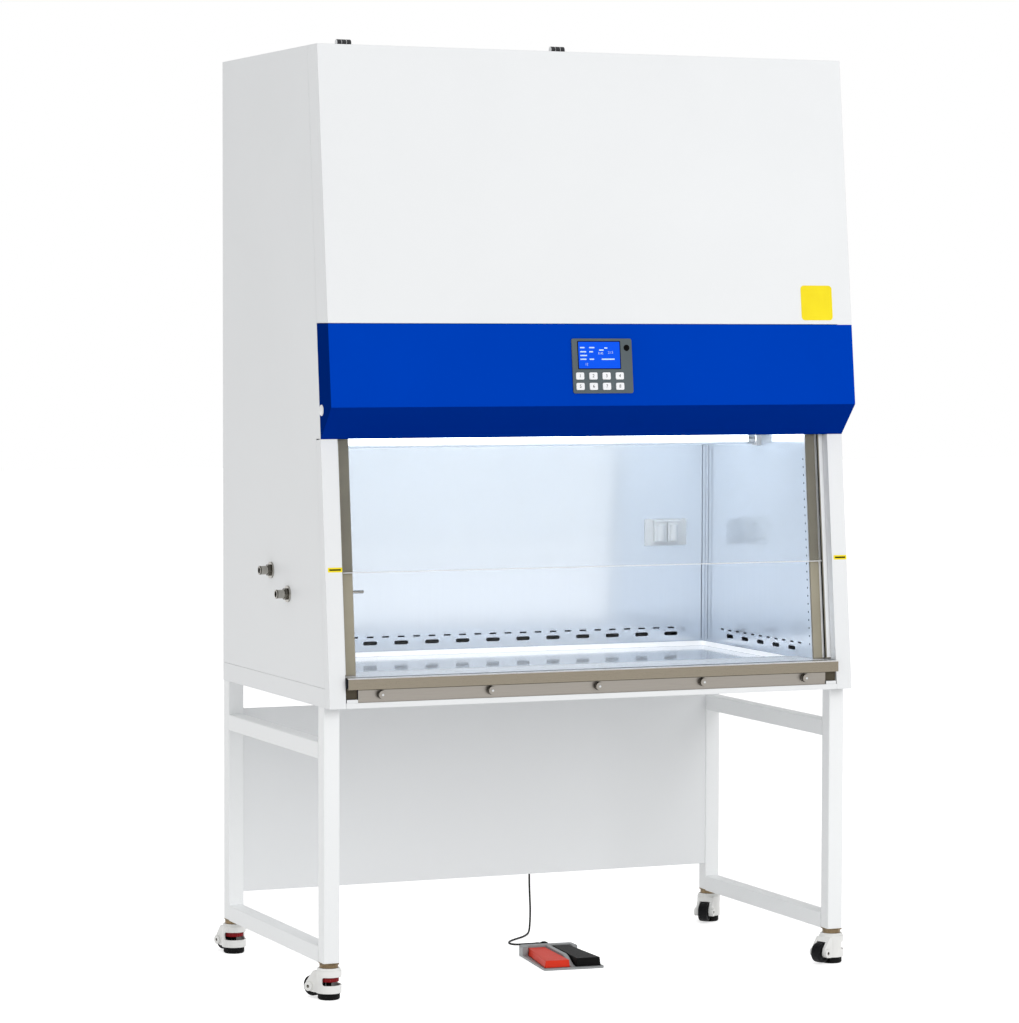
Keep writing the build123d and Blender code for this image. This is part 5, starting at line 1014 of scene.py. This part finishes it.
def make_stage():
    """Pale floor that turns white for the camera and keeps a soft shadow."""
    reach = 30.0
    mesh = bpy.data.meshes.new("floor")
    mesh.from_pydata([(-reach, -reach, 0), (reach, -reach, 0), (reach, reach, 0), (-reach, reach, 0)], [],
                     [(0, 1, 2, 3)])
    floor = bpy.data.objects.new("floor", mesh)
    bpy.context.scene.collection.objects.link(floor)
    material, tree, shader = start_material("floor_pale", Base_Color=(0.9, 0.9, 0.9), Roughness=0.9,
                                            Specular_IOR_Level=0.1)
    path = node(tree, "ShaderNodeLightPath")
    seen = maths(tree, "MAXIMUM", path.outputs["Is Camera Ray"], path.outputs["Is Glossy Ray"])
    seen = maths(tree, "MAXIMUM", seen, path.outputs["Is Transmission Ray"])
    tree.links.new(seen, shader.inputs["Emission Strength"])
    shader.inputs["Emission Color"].default_value = (FLOOR_LIFT, FLOOR_LIFT, FLOOR_LIFT, 1.0)
    floor.data.materials.append(material)


def make_world():
    """White surroundings for the camera, mirrors and glass; a softer level for the light itself."""
    world = bpy.data.worlds.new("studio")
    bpy.context.scene.world = world
    world.use_nodes = True
    tree = world.node_tree
    back = tree.nodes["Background"]
    path = node(tree, "ShaderNodeLightPath")
    near = maths(tree, "LESS_THAN", path.outputs["Ray Depth"], 2.5)
    through = maths(tree, "MULTIPLY", near, path.outputs["Is Transmission Ray"])
    seen = maths(tree, "MAXIMUM", path.outputs["Is Camera Ray"], through)
    base = node(tree, "ShaderNodeMapRange", {"Value": path.outputs["Is Glossy Ray"], "To Min": WORLD_LEVEL,
                                             "To Max": MIRROR_LEVEL})
    level = node(tree, "ShaderNodeMapRange", {"Value": seen, "To Max": 1.0})
    tree.links.new(base.outputs[0], level.inputs["To Min"])
    back.inputs[0].default_value = (1.0, 1.0, 1.0, 1.0)
    tree.links.new(level.outputs[0], back.inputs[1])


def add_light(name, where, aim, size, power, colour=(1.0, 1.0, 1.0)):
    """A soft rectangular lamp that faces a point and isn't seen or mirrored."""
    data = bpy.data.lights.new(name, "AREA")
    data.shape, data.size, data.size_y = "RECTANGLE", size[0], size[1]
    data.energy, data.color = power, colour
    lamp = bpy.data.objects.new(name, data)
    bpy.context.scene.collection.objects.link(lamp)
    direction = Vector(aim) - Vector(where)
    lamp.location = where
    lamp.visible_camera = lamp.visible_glossy = lamp.visible_transmission = False
    lamp.rotation_euler = direction.to_track_quat("-Z", "Y").to_euler()


FLOOR_LIFT = 0.6
WORLD_LEVEL = 0.64
MIRROR_LEVEL = 0.6
make_stage()
make_world()
add_light("front_key", (1.6, -6.5, 3.2), (0.0, 0.0, 1.3), (3.5, 3.5), 150.0)
add_light("left_fill", (-6.0, -1.0, 2.6), (0.0, 0.0, 1.2), (3.0, 3.0), 40.0)
add_light("chamber_fill", place((0.0, 20.0, 1330.0)), place((0.0, 60.0, 760.0)), (1.1, 0.4), 2.4, (0.95, 0.98, 1.0))

bpy.context.scene.view_settings.view_transform = "Standard"

bpy.context.view_layer.update()
